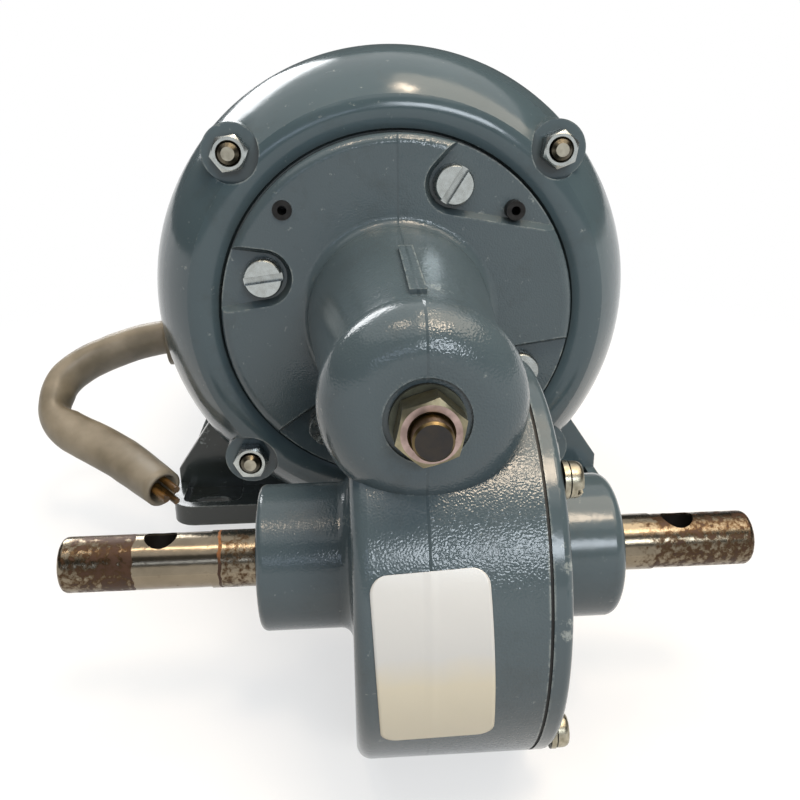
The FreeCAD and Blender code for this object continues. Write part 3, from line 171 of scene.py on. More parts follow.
floor_paint, tree = new_material("matt_table_seen_white")
place = add(tree, "ShaderNodeTexCoord").outputs["Object"]
looking = background_rays(tree)
grain = add(tree, "ShaderNodeTexNoise", {"Vector": place, "Scale": 1 / (2.5 * MM), "Detail": 2.0})
table = add(tree, "ShaderNodeMix", {0: grain.outputs["Fac"], 6: linear("#857D72"), 7: linear("#968E83")},
            data_type="RGBA")
tone = add(tree, "ShaderNodeMix", {0: looking, 6: table.outputs[2], 7: linear("#F8F8F8")}, data_type="RGBA")
matt = add(tree, "ShaderNodeBsdfPrincipled", {"Base Color": tone.outputs[2], "Roughness": 0.9,
                                              "Specular IOR Level": 0.0})
far = add(tree, "ShaderNodeVectorMath", {0: place, 1: SHADOW_CENTRE}, operation="DISTANCE")
fade = add(tree, "ShaderNodeMapRange", {"Value": far.outputs["Value"], "From Min": SHADOW_NEAR,
                                        "From Max": SHADOW_FAR, "To Min": WHITE_SHARE},
           interpolation_type="SMOOTHSTEP")
share = add(tree, "ShaderNodeMath", {0: fade.outputs[0], 1: looking}, operation="MULTIPLY")
white = add(tree, "ShaderNodeEmission", {"Color": linear("#FFFFFF"), "Strength": 1.0})
finish_material(tree, add(tree, "ShaderNodeMixShader", {0: share.outputs[0], 1: matt.outputs[0], 2: white.outputs[0]}))
floor_mesh.materials.append(floor_paint)
print("floor paint", floor_paint.name)

# %% [markdown]
# ## Light
# The world gives the white background and a plain light that is stronger from above and from the right. A wide panel on
# the ceiling lights the tops, a cool window behind the camera gives the drum its band of sparkles, a faint strip beside
# it draws a line along the left shaft, and three small warm lamps give the bright spots. A panel behind the motor
# lights its rear. Glossy enamel in an all-white room looks milky, because it mirrors white from every side. A
# photographer shades it with felt, and so does this scene: a grey felt ring stands round the motor, from the horizon to
# half way up. Only mirror reflections see it, so it takes no light away and never shows in a view.

# %% World
BRIGHT_SIDE = (0.55, -0.30, 0.78)
WORLD_LOW, WORLD_HIGH = 0.22, 0.76
DIM_FROM, BRIGHT_FROM = -0.4, 1.0

world = bpy.data.worlds.new("studio")
bpy.context.scene.world = world
world.use_nodes = True
tree = world.node_tree
tree.nodes.clear()
way = add(tree, "ShaderNodeTexCoord").outputs["Generated"]
turned = add(tree, "ShaderNodeVectorMath", {0: way, 1: BRIGHT_SIDE}, operation="DOT_PRODUCT")
strength = add(tree, "ShaderNodeMapRange", {"Value": turned.outputs["Value"], "From Min": DIM_FROM,
                                            "From Max": BRIGHT_FROM, "To Min": WORLD_LOW, "To Max": WORLD_HIGH})
lighting = add(tree, "ShaderNodeBackground", {"Color": linear("#F7F8F6"), "Strength": strength.outputs[0]})
backdrop = add(tree, "ShaderNodeBackground", {"Color": linear("#FFFFFF"), "Strength": 1.0})
both = add(tree, "ShaderNodeMixShader", {0: background_rays(tree), 1: lighting.outputs[0], 2: backdrop.outputs[0]})
add(tree, "ShaderNodeOutputWorld", {"Surface": both.outputs[0]})
bpy.context.scene.view_settings.view_transform = "Standard"
print("world strength", WORLD_LOW, "to", WORLD_HIGH)

# %% Lamps
# Place in metres, width, height, power in watts and colour.
LAMPS = {
    "ceiling_panel": ((0.38, -0.18, 0.95), 0.76, 0.80, 4.6, "#FFEDD2"),
    "front_window": ((0.25, -1.00, 0.50), 0.40, 0.18, 3.2, "#E6EFF8"),
    "window_strip": ((-0.24, -1.00, 0.385), 0.40, 0.09, 0.35, "#D6E6FF"),
    "fore_lamp": ((0.19, -0.45, 0.90), 0.26, 0.20, 3.0, "#FFE8CC"),
    "back_panel": ((-0.50, 0.85, 0.70), 0.60, 0.50, 8.0, "#F4F6F8"),
    "top_lamp": ((0.10, -0.02, 0.93), 0.10, 0.06, 0.5, "#FFE8CC"),
    "left_lamp": ((-0.22, -0.30, 0.92), 0.20, 0.10, 0.9, "#FFE8CC"),
}
for name, (place, width, height, power, colour) in LAMPS.items():
    lamp = bpy.data.lights.new(name, "AREA")
    lamp.shape = "RECTANGLE"
    lamp.size = width
    lamp.size_y = height
    lamp.energy = power
    lamp.color = linear(colour)[:3]
    made = bpy.data.objects.new(name, lamp)
    made.location = place
    made.rotation_euler = (wheel_at - Vector(place)).to_track_quat("-Z", "Y").to_euler()
    bpy.context.scene.collection.objects.link(made)
print("lamps", list(LAMPS))

# %% Felt ring
FELT_R = 1.3
# The ring's lower and upper edge, in degrees above the horizon.
FELT_LOW, FELT_HIGH = 8, 46
FELT_STEPS, FELT_SIDES = 6, 64

shape = bmesh.new()
turns = [2 * math.pi * k / FELT_SIDES for k in range(FELT_SIDES)]
rings = []
for i in range(FELT_STEPS + 1):
    rise = math.radians(FELT_LOW + (FELT_HIGH - FELT_LOW) * i / FELT_STEPS)
    rings.append([shape.verts.new(Vector((math.cos(rise) * math.cos(turn), math.cos(rise) * math.sin(turn),
                                          math.sin(rise))) * FELT_R) for turn in turns])
for lower, upper in zip(rings, rings[1:]):
    for k in range(FELT_SIDES):
        shape.faces.new((lower[k], upper[k], upper[(k + 1) % FELT_SIDES], lower[(k + 1) % FELT_SIDES]))
felt_mesh = bpy.data.meshes.new("felt_ring")
shape.to_mesh(felt_mesh)
shape.free()
felt = bpy.data.objects.new("felt_ring", felt_mesh)
bpy.context.scene.collection.objects.link(felt)
felt.visible_camera = False
felt.visible_diffuse = False
felt.visible_shadow = False

felt_cloth, tree = new_material("grey_felt")
place = add(tree, "ShaderNodeTexCoord").outputs["Object"]
pile = add(tree, "ShaderNodeTexNoise", {"Vector": place, "Scale": 1 / (60 * MM), "Detail": 4.0})
tone = add(tree, "ShaderNodeMix", {0: pile.outputs["Fac"], 6: linear("#54585C"), 7: linear("#74787C")},
           data_type="RGBA")
finish_material(tree, add(tree, "ShaderNodeBsdfPrincipled", {"Base Color": tone.outputs[2], "Roughness": 1.0,
                                                             "Specular IOR Level": 0.0}))
felt_mesh.materials.append(felt_cloth)
print("felt faces", len(felt_mesh.polygons))

# %% [markdown]
# ## Enamel on castings
# The shields, gearbox, cover and feet are die castings in blue-grey machinery enamel. Sprayed enamel is glossy and
# dries with an orange peel, strongest on the right half of the gearbox. Its left half is smoother, and the two meet in
# a small step, where the halves of the mould met. Dirt lies in patches, the corners are darkened as painted shade, and
# handling wears the edges, so the colour asks two nodes about the shape: Ambient Occlusion finds corners, and Bevel
# rounds the normal near an edge, which tells how sharp it is. One light patch on the cover's rim is a painted
# highlight, and the left foot's darker enamel is painted shade. All patterns are on Object coordinates, so a size in
# millimetres is a size on the part.


# %% Enamel
def enamel(name, light, dark, peel_mm, peel_left, peel_right, mould_step, worn_and_lit_at):
    """Blue-grey machinery enamel, sprayed and glossy: orange peel breaks its highlights into sparkles."""
    made, tree = new_material(name)
    place = add(tree, "ShaderNodeTexCoord").outputs["Object"]
    cloud = add(tree, "ShaderNodeTexNoise", {"Vector": place, "Scale": 1 / (35 * MM), "Detail": 3.0})
    tone = add(tree, "ShaderNodeMix", {0: cloud.outputs["Fac"], 6: linear(dark), 7: linear(light)},
               data_type="RGBA")
    dirt = add(tree, "ShaderNodeTexNoise", {"Vector": place, "Scale": 1 / (12 * MM), "Detail": 8.0,
                                            "Roughness": 0.7})
    # Ambient Occlusion darkens the corners as painted shade; the dirt noise adds real dirt in patches.
    open_air = add(tree, "ShaderNodeAmbientOcclusion", {"Distance": 4 * MM}, samples=6).outputs["AO"]
    corner = add(tree, "ShaderNodeMapRange", {"Value": open_air, "From Min": 0.80, "From Max": 0.30, "To Max": 0.5})
    film = add(tree, "ShaderNodeMapRange", {"Value": dirt.outputs["Fac"], "From Min": 0.54, "From Max": 0.80,
                                            "To Max": 0.35})
    shade_and_dirt = add(tree, "ShaderNodeMath", {0: corner.outputs[0], 1: film.outputs[0]}, operation="ADD", use_clamp=True)
    shaded_and_dirtied = add(tree, "ShaderNodeMix", {0: shade_and_dirt.outputs[0], 6: tone.outputs[2], 7: linear("#33342F")},
                  data_type="RGBA")
    softened = add(tree, "ShaderNodeBevel", {"Radius": 0.8 * MM}, samples=4)
    normal = add(tree, "ShaderNodeNewGeometry").outputs["Normal"]
    alike = add(tree, "ShaderNodeVectorMath", {0: softened.outputs[0], 1: normal}, operation="DOT_PRODUCT")
    edge = add(tree, "ShaderNodeMapRange", {"Value": alike.outputs["Value"], "From Min": 0.985, "From Max": 0.90})
    outward = add(tree, "ShaderNodeMapRange", {"Value": open_air, "From Min": 0.75, "From Max": 0.92})
    worn_and_lit = add(tree, "ShaderNodeMath", {0: edge.outputs[0], 1: outward.outputs[0]}, operation="MULTIPLY").outputs[0]
    # Each patch lightens the enamel: most are scuffs, and one on the cover's rim is a painted highlight.
    for centre_mm, reach_mm in worn_and_lit_at:
        away = add(tree, "ShaderNodeVectorMath", {0: place, 1: Vector(centre_mm) * MM}, operation="DISTANCE")
        patch = add(tree, "ShaderNodeMapRange", {"Value": away.outputs["Value"], "From Max": reach_mm * MM,
                                                 "To Min": 0.8, "To Max": 0.0})
        worn_and_lit = add(tree, "ShaderNodeMath", {0: worn_and_lit, 1: patch.outputs[0]}, operation="MAXIMUM").outputs[0]
    scuff = add(tree, "ShaderNodeTexNoise", {"Vector": place, "Scale": 1 / (2.5 * MM), "Detail": 6.0,
                                             "Roughness": 0.75})
    raised = add(tree, "ShaderNodeMath", {0: worn_and_lit, 1: 0.22, 2: scuff.outputs["Fac"]}, operation="MULTIPLY_ADD")
    scuffed_and_lit = add(tree, "ShaderNodeMapRange", {"Value": raised.outputs[0], "From Min": 0.64, "From Max": 0.74,
                                               "To Max": 0.65})
    colour = add(tree, "ShaderNodeMix", {0: scuffed_and_lit.outputs[0], 6: shaded_and_dirtied.outputs[2], 7: linear("#A3ABA9")},
                 data_type="RGBA")
    rough = add(tree, "ShaderNodeMapRange", {"Value": dirt.outputs["Fac"], "From Min": 0.3, "From Max": 0.8,
                                             "To Min": 0.10, "To Max": 0.26})
    across = add(tree, "ShaderNodeSeparateXYZ", {0: place}).outputs["X"]
    side = add(tree, "ShaderNodeMapRange", {"Value": across, "From Min": -0.25 * MM, "From Max": 0.25 * MM})
    depth = add(tree, "ShaderNodeMapRange", {"Value": side.outputs[0], "To Min": peel_left, "To Max": peel_right})
    peel = add(tree, "ShaderNodeTexNoise", {"Vector": place, "Scale": 1 / (peel_mm * MM), "Detail": 0.5,
                                            "Roughness": 0.4})
    bump = add(tree, "ShaderNodeBump", {"Strength": depth.outputs[0], "Distance": 0.08 * MM,
                                        "Height": peel.outputs["Fac"]})
    stepped = add(tree, "ShaderNodeBump", {"Strength": mould_step, "Distance": 0.35 * MM, "Height": side.outputs[0],
                                           "Normal": bump.outputs[0]})
    surface = add(tree, "ShaderNodeBsdfPrincipled", {
        "Base Color": colour.outputs[2], "Roughness": rough.outputs[0], "IOR": 1.5, "Normal": stepped.outputs[0]})
    finish_material(tree, surface)
    return made


NECK_SCUFF = ((4.5, -130.0, 88.6), 5.0)
# The first two patches on the cover's rim are scuffs; the third is a painted highlight.
RIM_SCUFFS_AND_HIGHLIGHT = (((25.0, -159.6, 45.7), 5.0), ((25.0, -163.0, 34.6), 5.0), ((25.0, -148.0, 61.0), 4.0))
WEB_SCUFF = ((-60.0, -34.0, 22.0), 5.0)

gearbox_enamel = enamel("blue_grey_enamel_peel", "#526066", "#445158", 0.41, 0.50, 1.0, 0.6, [NECK_SCUFF])
cover_enamel = enamel("blue_grey_enamel_scuffed", "#526066", "#445158", 1.2, 0.25, 0.25, 0.0, RIM_SCUFFS_AND_HIGHLIGHT)
motor_enamel = enamel("blue_grey_enamel_smooth", "#4E5F66", "#404F56", 2.4, 0.20, 0.20, 0.0, [])
# The left foot's darker enamel is painted shade, for the shade it stands in under the motor.
shaded_foot_enamel = enamel("blue_grey_enamel_painted_shade", "#404645", "#2F3433", 1.8, 0.30, 0.30, 0.0, [WEB_SCUFF])
paint_nodes(gearbox_enamel, "gear_housing")
paint_nodes(cover_enamel, "gear_cover")
paint_nodes(motor_enamel, "front_shield", "rear_shield", "stator_housing", "foot_right")
paint_nodes(shaded_foot_enamel, "foot_left")
print("enamels", [made.name for made in (gearbox_enamel, cover_enamel, motor_enamel, shaded_foot_enamel)])

# %% [markdown]
# ## Steel shaft with rust
# The output shaft is ground steel. Its left end has lain bare and is half covered in brown rust, the stretch beside it
# was kept bright by a hub, and a thin line of rust shows where that hub ended. The right end is stained all over. Each
# zone is a range of the place along the shaft. A noise frays its edge, and a second one breaks the rust into patches.


# %% Shaft
# Places along the shaft, in millimetres from the middle of the feet.
LEFT_TIP, LEFT_WORST, HUB_FACE = -75, -62, -58.8
HUB_BACK, HUB_LINE_HALF = -40.6, 0.30
RIGHT_CLEAN, RIGHT_STAINED = 48, 56
TIP_FACE = 74
# Heights on the shaft between which the rust line turns fresh orange, and radii between which a wall is in a hole.
FRESH_LOW, FRESH_HIGH = 30, 33
SKIN_R, HOLE_R = 5.9, 5.5


def rusted_shaft():
    """Ground carbon steel: a mirror with fine rings round it, brown where it is stained, matt where it is rusted."""
    made, tree = new_material("ground_steel_rusted")
    place = add(tree, "ShaderNodeTexCoord").outputs["Object"]
    parts = add(tree, "ShaderNodeSeparateXYZ", {0: place}).outputs
    along = parts["X"]
    fray = add(tree, "ShaderNodeTexNoise", {"Vector": place, "Scale": 1 / (3 * MM), "Detail": 5.0}).outputs["Fac"]
    shift = add(tree, "ShaderNodeMath", {0: fray, 1: 2 * MM, 2: along}, operation="MULTIPLY_ADD").outputs[0]
    left_depth = add(tree, "ShaderNodeMapRange", {"Value": shift, "From Min": LEFT_TIP * MM,
                                                  "From Max": LEFT_WORST * MM, "To Min": 0.5, "To Max": 0.95})
    lain_bare = add(tree, "ShaderNodeMath", {0: shift, 1: HUB_FACE * MM}, operation="LESS_THAN")
    left_end = add(tree, "ShaderNodeMath", {0: left_depth.outputs[0], 1: lain_bare.outputs[0]},
                   operation="MULTIPLY")
    right_end = add(tree, "ShaderNodeMapRange", {"Value": shift, "From Min": RIGHT_CLEAN * MM,
                                                 "From Max": RIGHT_STAINED * MM, "To Max": 0.66})
    hub_line = add(tree, "ShaderNodeMath", {0: shift, 1: HUB_BACK * MM, 2: HUB_LINE_HALF * MM},
                   operation="COMPARE").outputs[0]
    past_line = add(tree, "ShaderNodeMapRange", {"Value": shift, "From Min": (HUB_BACK - 0.4) * MM,
                                                 "From Max": (HUB_BACK + 0.6) * MM, "To Max": 0.45})
    on_left = add(tree, "ShaderNodeMath", {0: along, 1: 0.0}, operation="LESS_THAN")
    by_boss = add(tree, "ShaderNodeMath", {0: past_line.outputs[0], 1: on_left.outputs[0]}, operation="MULTIPLY")
    ends = add(tree, "ShaderNodeMath", {0: left_end.outputs[0], 1: right_end.outputs[0]}, operation="MAXIMUM")
    bare = add(tree, "ShaderNodeMath", {0: ends.outputs[0], 1: by_boss.outputs[0]}, operation="MAXIMUM")
    zone = add(tree, "ShaderNodeMath", {0: bare.outputs[0], 1: hub_line}, operation="MAXIMUM").outputs[0]
    flecks = add(tree, "ShaderNodeTexNoise", {"Vector": place, "Scale": 1 / (1.5 * MM), "Detail": 6.0,
                                              "Roughness": 0.62}).outputs["Fac"]
    cover = add(tree, "ShaderNodeMath", {0: zone, 1: 0.34, 2: flecks}, operation="MULTIPLY_ADD").outputs[0]
    stain = add(tree, "ShaderNodeMapRange", {"Value": cover, "From Min": 0.60, "From Max": 0.76}).outputs[0]
    rust = add(tree, "ShaderNodeMapRange", {"Value": cover, "From Min": 0.75, "From Max": 0.83}).outputs[0]
    grey = add(tree, "ShaderNodeMix", {0: fray, 6: linear("#736959"), 7: linear("#938876")}, data_type="RGBA")
    brown = add(tree, "ShaderNodeMix", {0: stain, 6: grey.outputs[2], 7: linear("#493724")}, data_type="RGBA")
    oxide = add(tree, "ShaderNodeMix", {0: fray, 6: linear("#28160A"), 7: linear("#4B2E16")}, data_type="RGBA")
    fresh = add(tree, "ShaderNodeMapRange", {"Value": parts["Z"], "From Min": FRESH_LOW * MM,
                                             "From Max": FRESH_HIGH * MM, "To Max": hub_line})
    orange = add(tree, "ShaderNodeMix", {0: fresh.outputs[0], 6: oxide.outputs[2], 7: linear("#8A5524")},
                 data_type="RGBA")
    skin = add(tree, "ShaderNodeMix", {0: rust, 6: brown.outputs[2], 7: orange.outputs[2]}, data_type="RGBA")
    # Nearer the axis than the outside, and not the end faces: the walls of the cross holes, painted near black as
    # shade.
    outside = add(tree, "ShaderNodeCombineXYZ", {1: parts["Y"], 2: parts["Z"]})
    axis = Vector((0, wheel_at.y, wheel_at.z))
    radius = add(tree, "ShaderNodeVectorMath", {0: outside.outputs[0], 1: axis}, operation="DISTANCE")
    deep = add(tree, "ShaderNodeMapRange", {"Value": radius.outputs["Value"], "From Min": SKIN_R * MM,
                                            "From Max": HOLE_R * MM})
    reach = add(tree, "ShaderNodeMath", {0: along}, operation="ABSOLUTE")
    inside = add(tree, "ShaderNodeMath", {0: reach.outputs[0], 1: TIP_FACE * MM}, operation="LESS_THAN")
    hole_shade = add(tree, "ShaderNodeMath", {0: deep.outputs[0], 1: inside.outputs[0]}, operation="MULTIPLY").outputs[0]
    colour = add(tree, "ShaderNodeMix", {0: hole_shade, 6: skin.outputs[2], 7: linear("#15110D")}, data_type="RGBA")
    dull = add(tree, "ShaderNodeMath", {0: rust, 1: hole_shade}, operation="MAXIMUM").outputs[0]
    metal = add(tree, "ShaderNodeMapRange", {"Value": dull, "To Min": 1.0, "To Max": 0.25})
    gloss = add(tree, "ShaderNodeMapRange", {"Value": stain, "To Min": 0.18, "To Max": 0.34})
    rough = add(tree, "ShaderNodeMapRange", {"Value": dull, "To Min": gloss.outputs[0], "To Max": 0.55})
    # Grinding rings are finer than this on a real shaft, and are drawn coarse enough to show.
    rings = add(tree, "ShaderNodeTexNoise", {"W": along, "Scale": 1 / (0.5 * MM), "Detail": 2.0},
                noise_dimensions="1D")
    ground = add(tree, "ShaderNodeBump", {"Strength": 0.10, "Distance": 0.05 * MM, "Height": rings.outputs["Fac"]})
    bump = add(tree, "ShaderNodeBump", {"Strength": 0.5, "Distance": 0.08 * MM, "Height": cover,
                                        "Normal": ground.outputs[0]})
    surface = add(tree, "ShaderNodeBsdfPrincipled", {
        "Base Color": colour.outputs[2], "Metallic": metal.outputs[0], "Roughness": rough.outputs[0],
        "Normal": bump.outputs[0]})
    finish_material(tree, surface)
    return made


shaft_finish = rusted_shaft()
paint_nodes(shaft_finish, "output_shaft")
print("shaft", shaft_finish.name, len(shaft_finish.node_tree.nodes), "nodes")

# %% [markdown]
# ## Plated and plain metals
# Nuts and screws are zinc plated, which is bright with a cloudy, slightly yellow bloom. The locating pins are blackened
# and the adjuster's washer is dull. The pieces inside are plain machined steel, bronze, electrical sheet, copper and
# aluminium. They differ only in colour, gloss and the size of their clouding, so one function makes them all.


# %% Metals
def clouded_metal(name, light, dark, cloud_mm, rough_low, rough_high, metallic):
    """A metal whose tone and gloss drift over a few millimetres, darkened in slots and corners as painted shade."""
    made, tree = new_material(name)
    place = add(tree, "ShaderNodeTexCoord").outputs["Object"]
    cloud = add(tree, "ShaderNodeTexNoise", {"Vector": place, "Scale": 1 / (cloud_mm * MM), "Detail": 5.0})
    spread = add(tree, "ShaderNodeMapRange", {"Value": cloud.outputs["Fac"], "From Min": 0.25, "From Max": 0.75})
    plated = add(tree, "ShaderNodeMix", {0: spread.outputs[0], 6: linear(dark), 7: linear(light)},
                 data_type="RGBA")
    # Slots and corners are darkened towards a near black as painted shade.
    open_air = add(tree, "ShaderNodeAmbientOcclusion", {"Distance": 1.5 * MM}, samples=6).outputs["AO"]
    slot_shade = add(tree, "ShaderNodeMapRange", {"Value": open_air, "From Min": 0.85, "From Max": 0.35, "To Max": 0.7})
    colour = add(tree, "ShaderNodeMix", {0: slot_shade.outputs[0], 6: plated.outputs[2], 7: linear("#2E2C27")},
                 data_type="RGBA")
    rough = add(tree, "ShaderNodeMapRange", {"Value": spread.outputs[0], "To Min": rough_high,
                                             "To Max": rough_low})
    grain = add(tree, "ShaderNodeTexNoise", {"Vector": place, "Scale": 1 / (0.5 * MM), "Detail": 2.0})
    bump = add(tree, "ShaderNodeBump", {"Strength": 0.12, "Distance": 0.05 * MM, "Height": grain.outputs["Fac"]})
    surface = add(tree, "ShaderNodeBsdfPrincipled", {
        "Base Color": colour.outputs[2], "Metallic": metallic, "Roughness": rough.outputs[0],
        "Normal": bump.outputs[0]})
    finish_material(tree, surface)
    return made


zinc = clouded_metal("bright_zinc_plate", "#BCC2C1", "#A3A6A2", 1.8, 0.20, 0.32, 1.0)
warm_zinc = clouded_metal("yellowed_zinc_plate", "#B6B09D", "#857F6E", 1.2, 0.24, 0.42, 1.0)
dull_steel = clouded_metal("dulled_steel", "#5F6358", "#45483F", 3.0, 0.40, 0.55, 0.8)
black_steel = clouded_metal("blackened_steel", "#2B2A29", "#161514", 2.0, 0.38, 0.55, 0.6)
steel = clouded_metal("machined_steel", "#B4B4B2", "#8E8E8C", 4.0, 0.22, 0.36, 1.0)
bronze = clouded_metal("cast_bronze", "#B98A4E", "#8A6234", 5.0, 0.25, 0.40, 1.0)
sheet_steel = clouded_metal("stacked_electrical_steel", "#6F6F70", "#515152", 3.0, 0.40, 0.55, 1.0)
copper = clouded_metal("varnished_copper", "#A5562E", "#7A3A1C", 2.0, 0.25, 0.38, 1.0)
aluminium = clouded_metal("die_cast_aluminium", "#B9BABC", "#97989A", 5.0, 0.35, 0.48, 1.0)

paint_nodes(zinc, "front_tie_nuts", "rear_tie_nuts", "foot_screws")
paint_nodes(warm_zinc, "cover_washers")
paint_nodes(dull_steel, "adjuster_washer")
paint_nodes(black_steel, "locating_pins")
paint_nodes(steel, "rotor_shaft", "worm", "worm_pin", "thrust_ball", "wheel_key", "wheel_hub", "spacer_sleeve",
            "front_bearing_outer", "front_bearing_inner", "rear_bearing_outer", "rear_bearing_inner", "wave_washer")
paint_nodes(bronze, "worm_wheel", "worm_bush", "output_bush_left", "output_bush_right", "thrust_washers")
paint_nodes(sheet_steel, "stator_core", "rotor_core")
paint_nodes(copper, "stator_winding")
paint_nodes(aluminium, "rotor_end_rings")
print("metals", [made.name for made in (zinc, warm_zinc, dull_steel, black_steel, steel, bronze, sheet_steel, copper,
                                        aluminium)])

# %% [markdown]
# ## Adjuster
# The adjusting screw in the bulb's front and its lock nut were passivated yellow. Wear has left the nut's face pinkish
# and its flats olive, and the screw's end black with a brown thread. The tie studs are the other way round, with bright
# ends and oily threads. The surface's own direction tells the two apart: what looks forward is a face, and the rest is
# a flank.


# %% Adjuster
def worn_passivate(name, face, flank, face_metal):
    """Yellow passivated steel: a thin warm film on a metal, rubbed off or burnt on the faces."""
    made, tree = new_material(name)
    place = add(tree, "ShaderNodeTexCoord").outputs["Object"]
    normal = add(tree, "ShaderNodeNewGeometry").outputs["Normal"]
    facing = add(tree, "ShaderNodeSeparateXYZ", {0: normal}).outputs["Y"]
    forward = add(tree, "ShaderNodeMapRange", {"Value": facing, "From Min": -0.90, "From Max": -0.985}).outputs[0]
    bloom = add(tree, "ShaderNodeTexNoise", {"Vector": place, "Scale": 1 / (2.0 * MM), "Detail": 5.0}).outputs["Fac"]
    mixed = add(tree, "ShaderNodeMix", {0: forward, 6: linear(flank), 7: linear(face)}, data_type="RGBA")
    shade = add(tree, "ShaderNodeMapRange", {"Value": bloom, "From Min": 0.35, "From Max": 0.70, "To Max": 0.45})
    colour = add(tree, "ShaderNodeMix", {0: shade.outputs[0], 6: mixed.outputs[2], 7: linear("#3B3226")},
                 data_type="RGBA")
    metal = add(tree, "ShaderNodeMapRange", {"Value": forward, "To Min": 1.0, "To Max": face_metal})
    rough = add(tree, "ShaderNodeMapRange", {"Value": bloom, "To Min": 0.20, "To Max": 0.45})
    bump = add(tree, "ShaderNodeBump", {"Strength": 0.2, "Distance": 0.05 * MM, "Height": bloom})
    finish_material(tree, add(tree, "ShaderNodeBsdfPrincipled", {
        "Base Color": colour.outputs[2], "Metallic": metal.outputs[0], "Roughness": rough.outputs[0],
        "Normal": bump.outputs[0]}))
    return made


PASSIVATED = {
    "adjuster_nut": ("passivated_nut", "#BBA39B", "#9A9278", 1.0),
    "adjuster_screw": ("passivated_screw", "#242120", "#6E5F42", 0.3),
    "tie_studs": ("oily_stud", "#B4AF9F", "#5C574B", 1.0),
}
for node, finish in PASSIVATED.items():
    paint_nodes(worn_passivate(*finish), node)
print("adjuster and studs", list(PASSIVATED))

# %% [markdown]
# ## Rubber and plastic
# Seals and the gasket are black rubber. The cable sleeve and its grommet are soft grey PVC that has yellowed, with dark
# finger marks, and the leads inside are in brown insulation. None of them is metal, so a broad sheen and a fine grain
# tell them apart.


# %% Rubber and plastic
def soft_plastic(name, light, dark, mark_mm, rough, grain_depth):
    """Moulded rubber or PVC: no mirror, a broad sheen, and marks a few millimetres wide."""
    made, tree = new_material(name)
    place = add(tree, "ShaderNodeTexCoord").outputs["Object"]
    mark = add(tree, "ShaderNodeTexNoise", {"Vector": place, "Scale": 1 / (mark_mm * MM), "Detail": 4.0})
    spread = add(tree, "ShaderNodeMapRange", {"Value": mark.outputs["Fac"], "From Min": 0.36, "From Max": 0.62})
    colour = add(tree, "ShaderNodeMix", {0: spread.outputs[0], 6: linear(dark), 7: linear(light)},
                 data_type="RGBA")
    grain = add(tree, "ShaderNodeTexNoise", {"Vector": place, "Scale": 1 / (0.6 * MM), "Detail": 3.0})
    bump = add(tree, "ShaderNodeBump", {"Strength": grain_depth, "Distance": 0.1 * MM,
                                        "Height": grain.outputs["Fac"]})
    surface = add(tree, "ShaderNodeBsdfPrincipled", {"Base Color": colour.outputs[2], "Roughness": rough,
                                                     "Normal": bump.outputs[0]})
    finish_material(tree, surface)
    return made


rubber = soft_plastic("black_rubber", "#1C1C1B", "#0E0E0E", 4.0, 0.6, 0.2)
pvc = soft_plastic("yellowed_grey_pvc", "#938A7A", "#716959", 14.0, 0.42, 0.10)
insulation = soft_plastic("brown_wire_insulation", "#6B4D24", "#3A2912", 3.0, 0.4, 0.05)
paint_nodes(rubber, "motor_seal", "output_seal_left", "output_seal_right", "cover_gasket")
paint_nodes(pvc, "cable_grommet")
paint_nodes(insulation, "lead_wires")
print("plastics", [made.name for made in (rubber, pvc, insulation)])

# %% [markdown]
# ## Cable sleeve
# A soft grey sleeve leaves the motor on the left, kinks back on itself and ends in an open cut with bare leads. Its
# line is a NURBS spline on the route's control points. The tube is a mesh along that line rather than a bevelled curve,
# because a soft sleeve is squeezed: it is narrow where it leaves the motor, wide after the fold, and hollow at the cut.

# %% Sleeve line
SLEEVE_ROUTE_MM = (
    (-69.0, -20.0, 50.8), (-77.0, -20.0, 49.8), (-86.0, -20.8, 47.0), (-94.0, -22.6, 44.2), (-100.5, -25.8, 40.6),
    (-103.2, -30.0, 36.6), (-103.0, -34.8, 31.4), (-99.0, -39.2, 27.6), (-91.0, -43.1, 24.9), (-82.6, -47.8, 22.2),
    (-75.2, -54.2, 20.0), (-66.4, -63.5, 17.8))
SLEEVE_D = 10.8 * MM
SLEEVE_BORE = 0.78
SLEEVE_HOLLOW = 6
SIDES = 28
# Width of the flattened sleeve in its bend's plane, at even steps from the motor to the cut end.
SLEEVE_WIDTHS = (0.84, 0.82, 0.80, 0.80, 0.86, 1.04, 1.16, 1.20, 1.18, 1.12, 1.04)
# Where the sleeve folds and how long the fold is, as shares of its length, and how deep it is pinched.
FOLD_AT, FOLD_LENGTH, FOLD_PINCH = 0.49, 0.04, 0.55
CREASE, CREASE_SIZE = 0.02, 4 * MM

curve = bpy.data.curves.new("sleeve_line", "CURVE")
curve.dimensions = "3D"
curve.resolution_u = 8
spline = curve.splines.new("NURBS")
spline.points.add(len(SLEEVE_ROUTE_MM) - 1)
for point, place in zip(spline.points, SLEEVE_ROUTE_MM):
    point.co = (*(Vector(place) * MM), 1)
spline.order_u = 3
spline.use_endpoint_u = True
guide = bpy.data.objects.new("sleeve_line", curve)
bpy.context.scene.collection.objects.link(guide)
bpy.context.view_layer.update()
line_mesh = bpy.data.meshes.new_from_object(guide.evaluated_get(bpy.context.evaluated_depsgraph_get()))
line = [vertex.co.copy() for vertex in line_mesh.vertices]
bpy.data.objects.remove(guide)
steps = [(b - a).length for a, b in zip(line, line[1:])]
sleeve_length = sum(steps)
print("sleeve line", len(line), "points", round(sleeve_length, 4), "m")

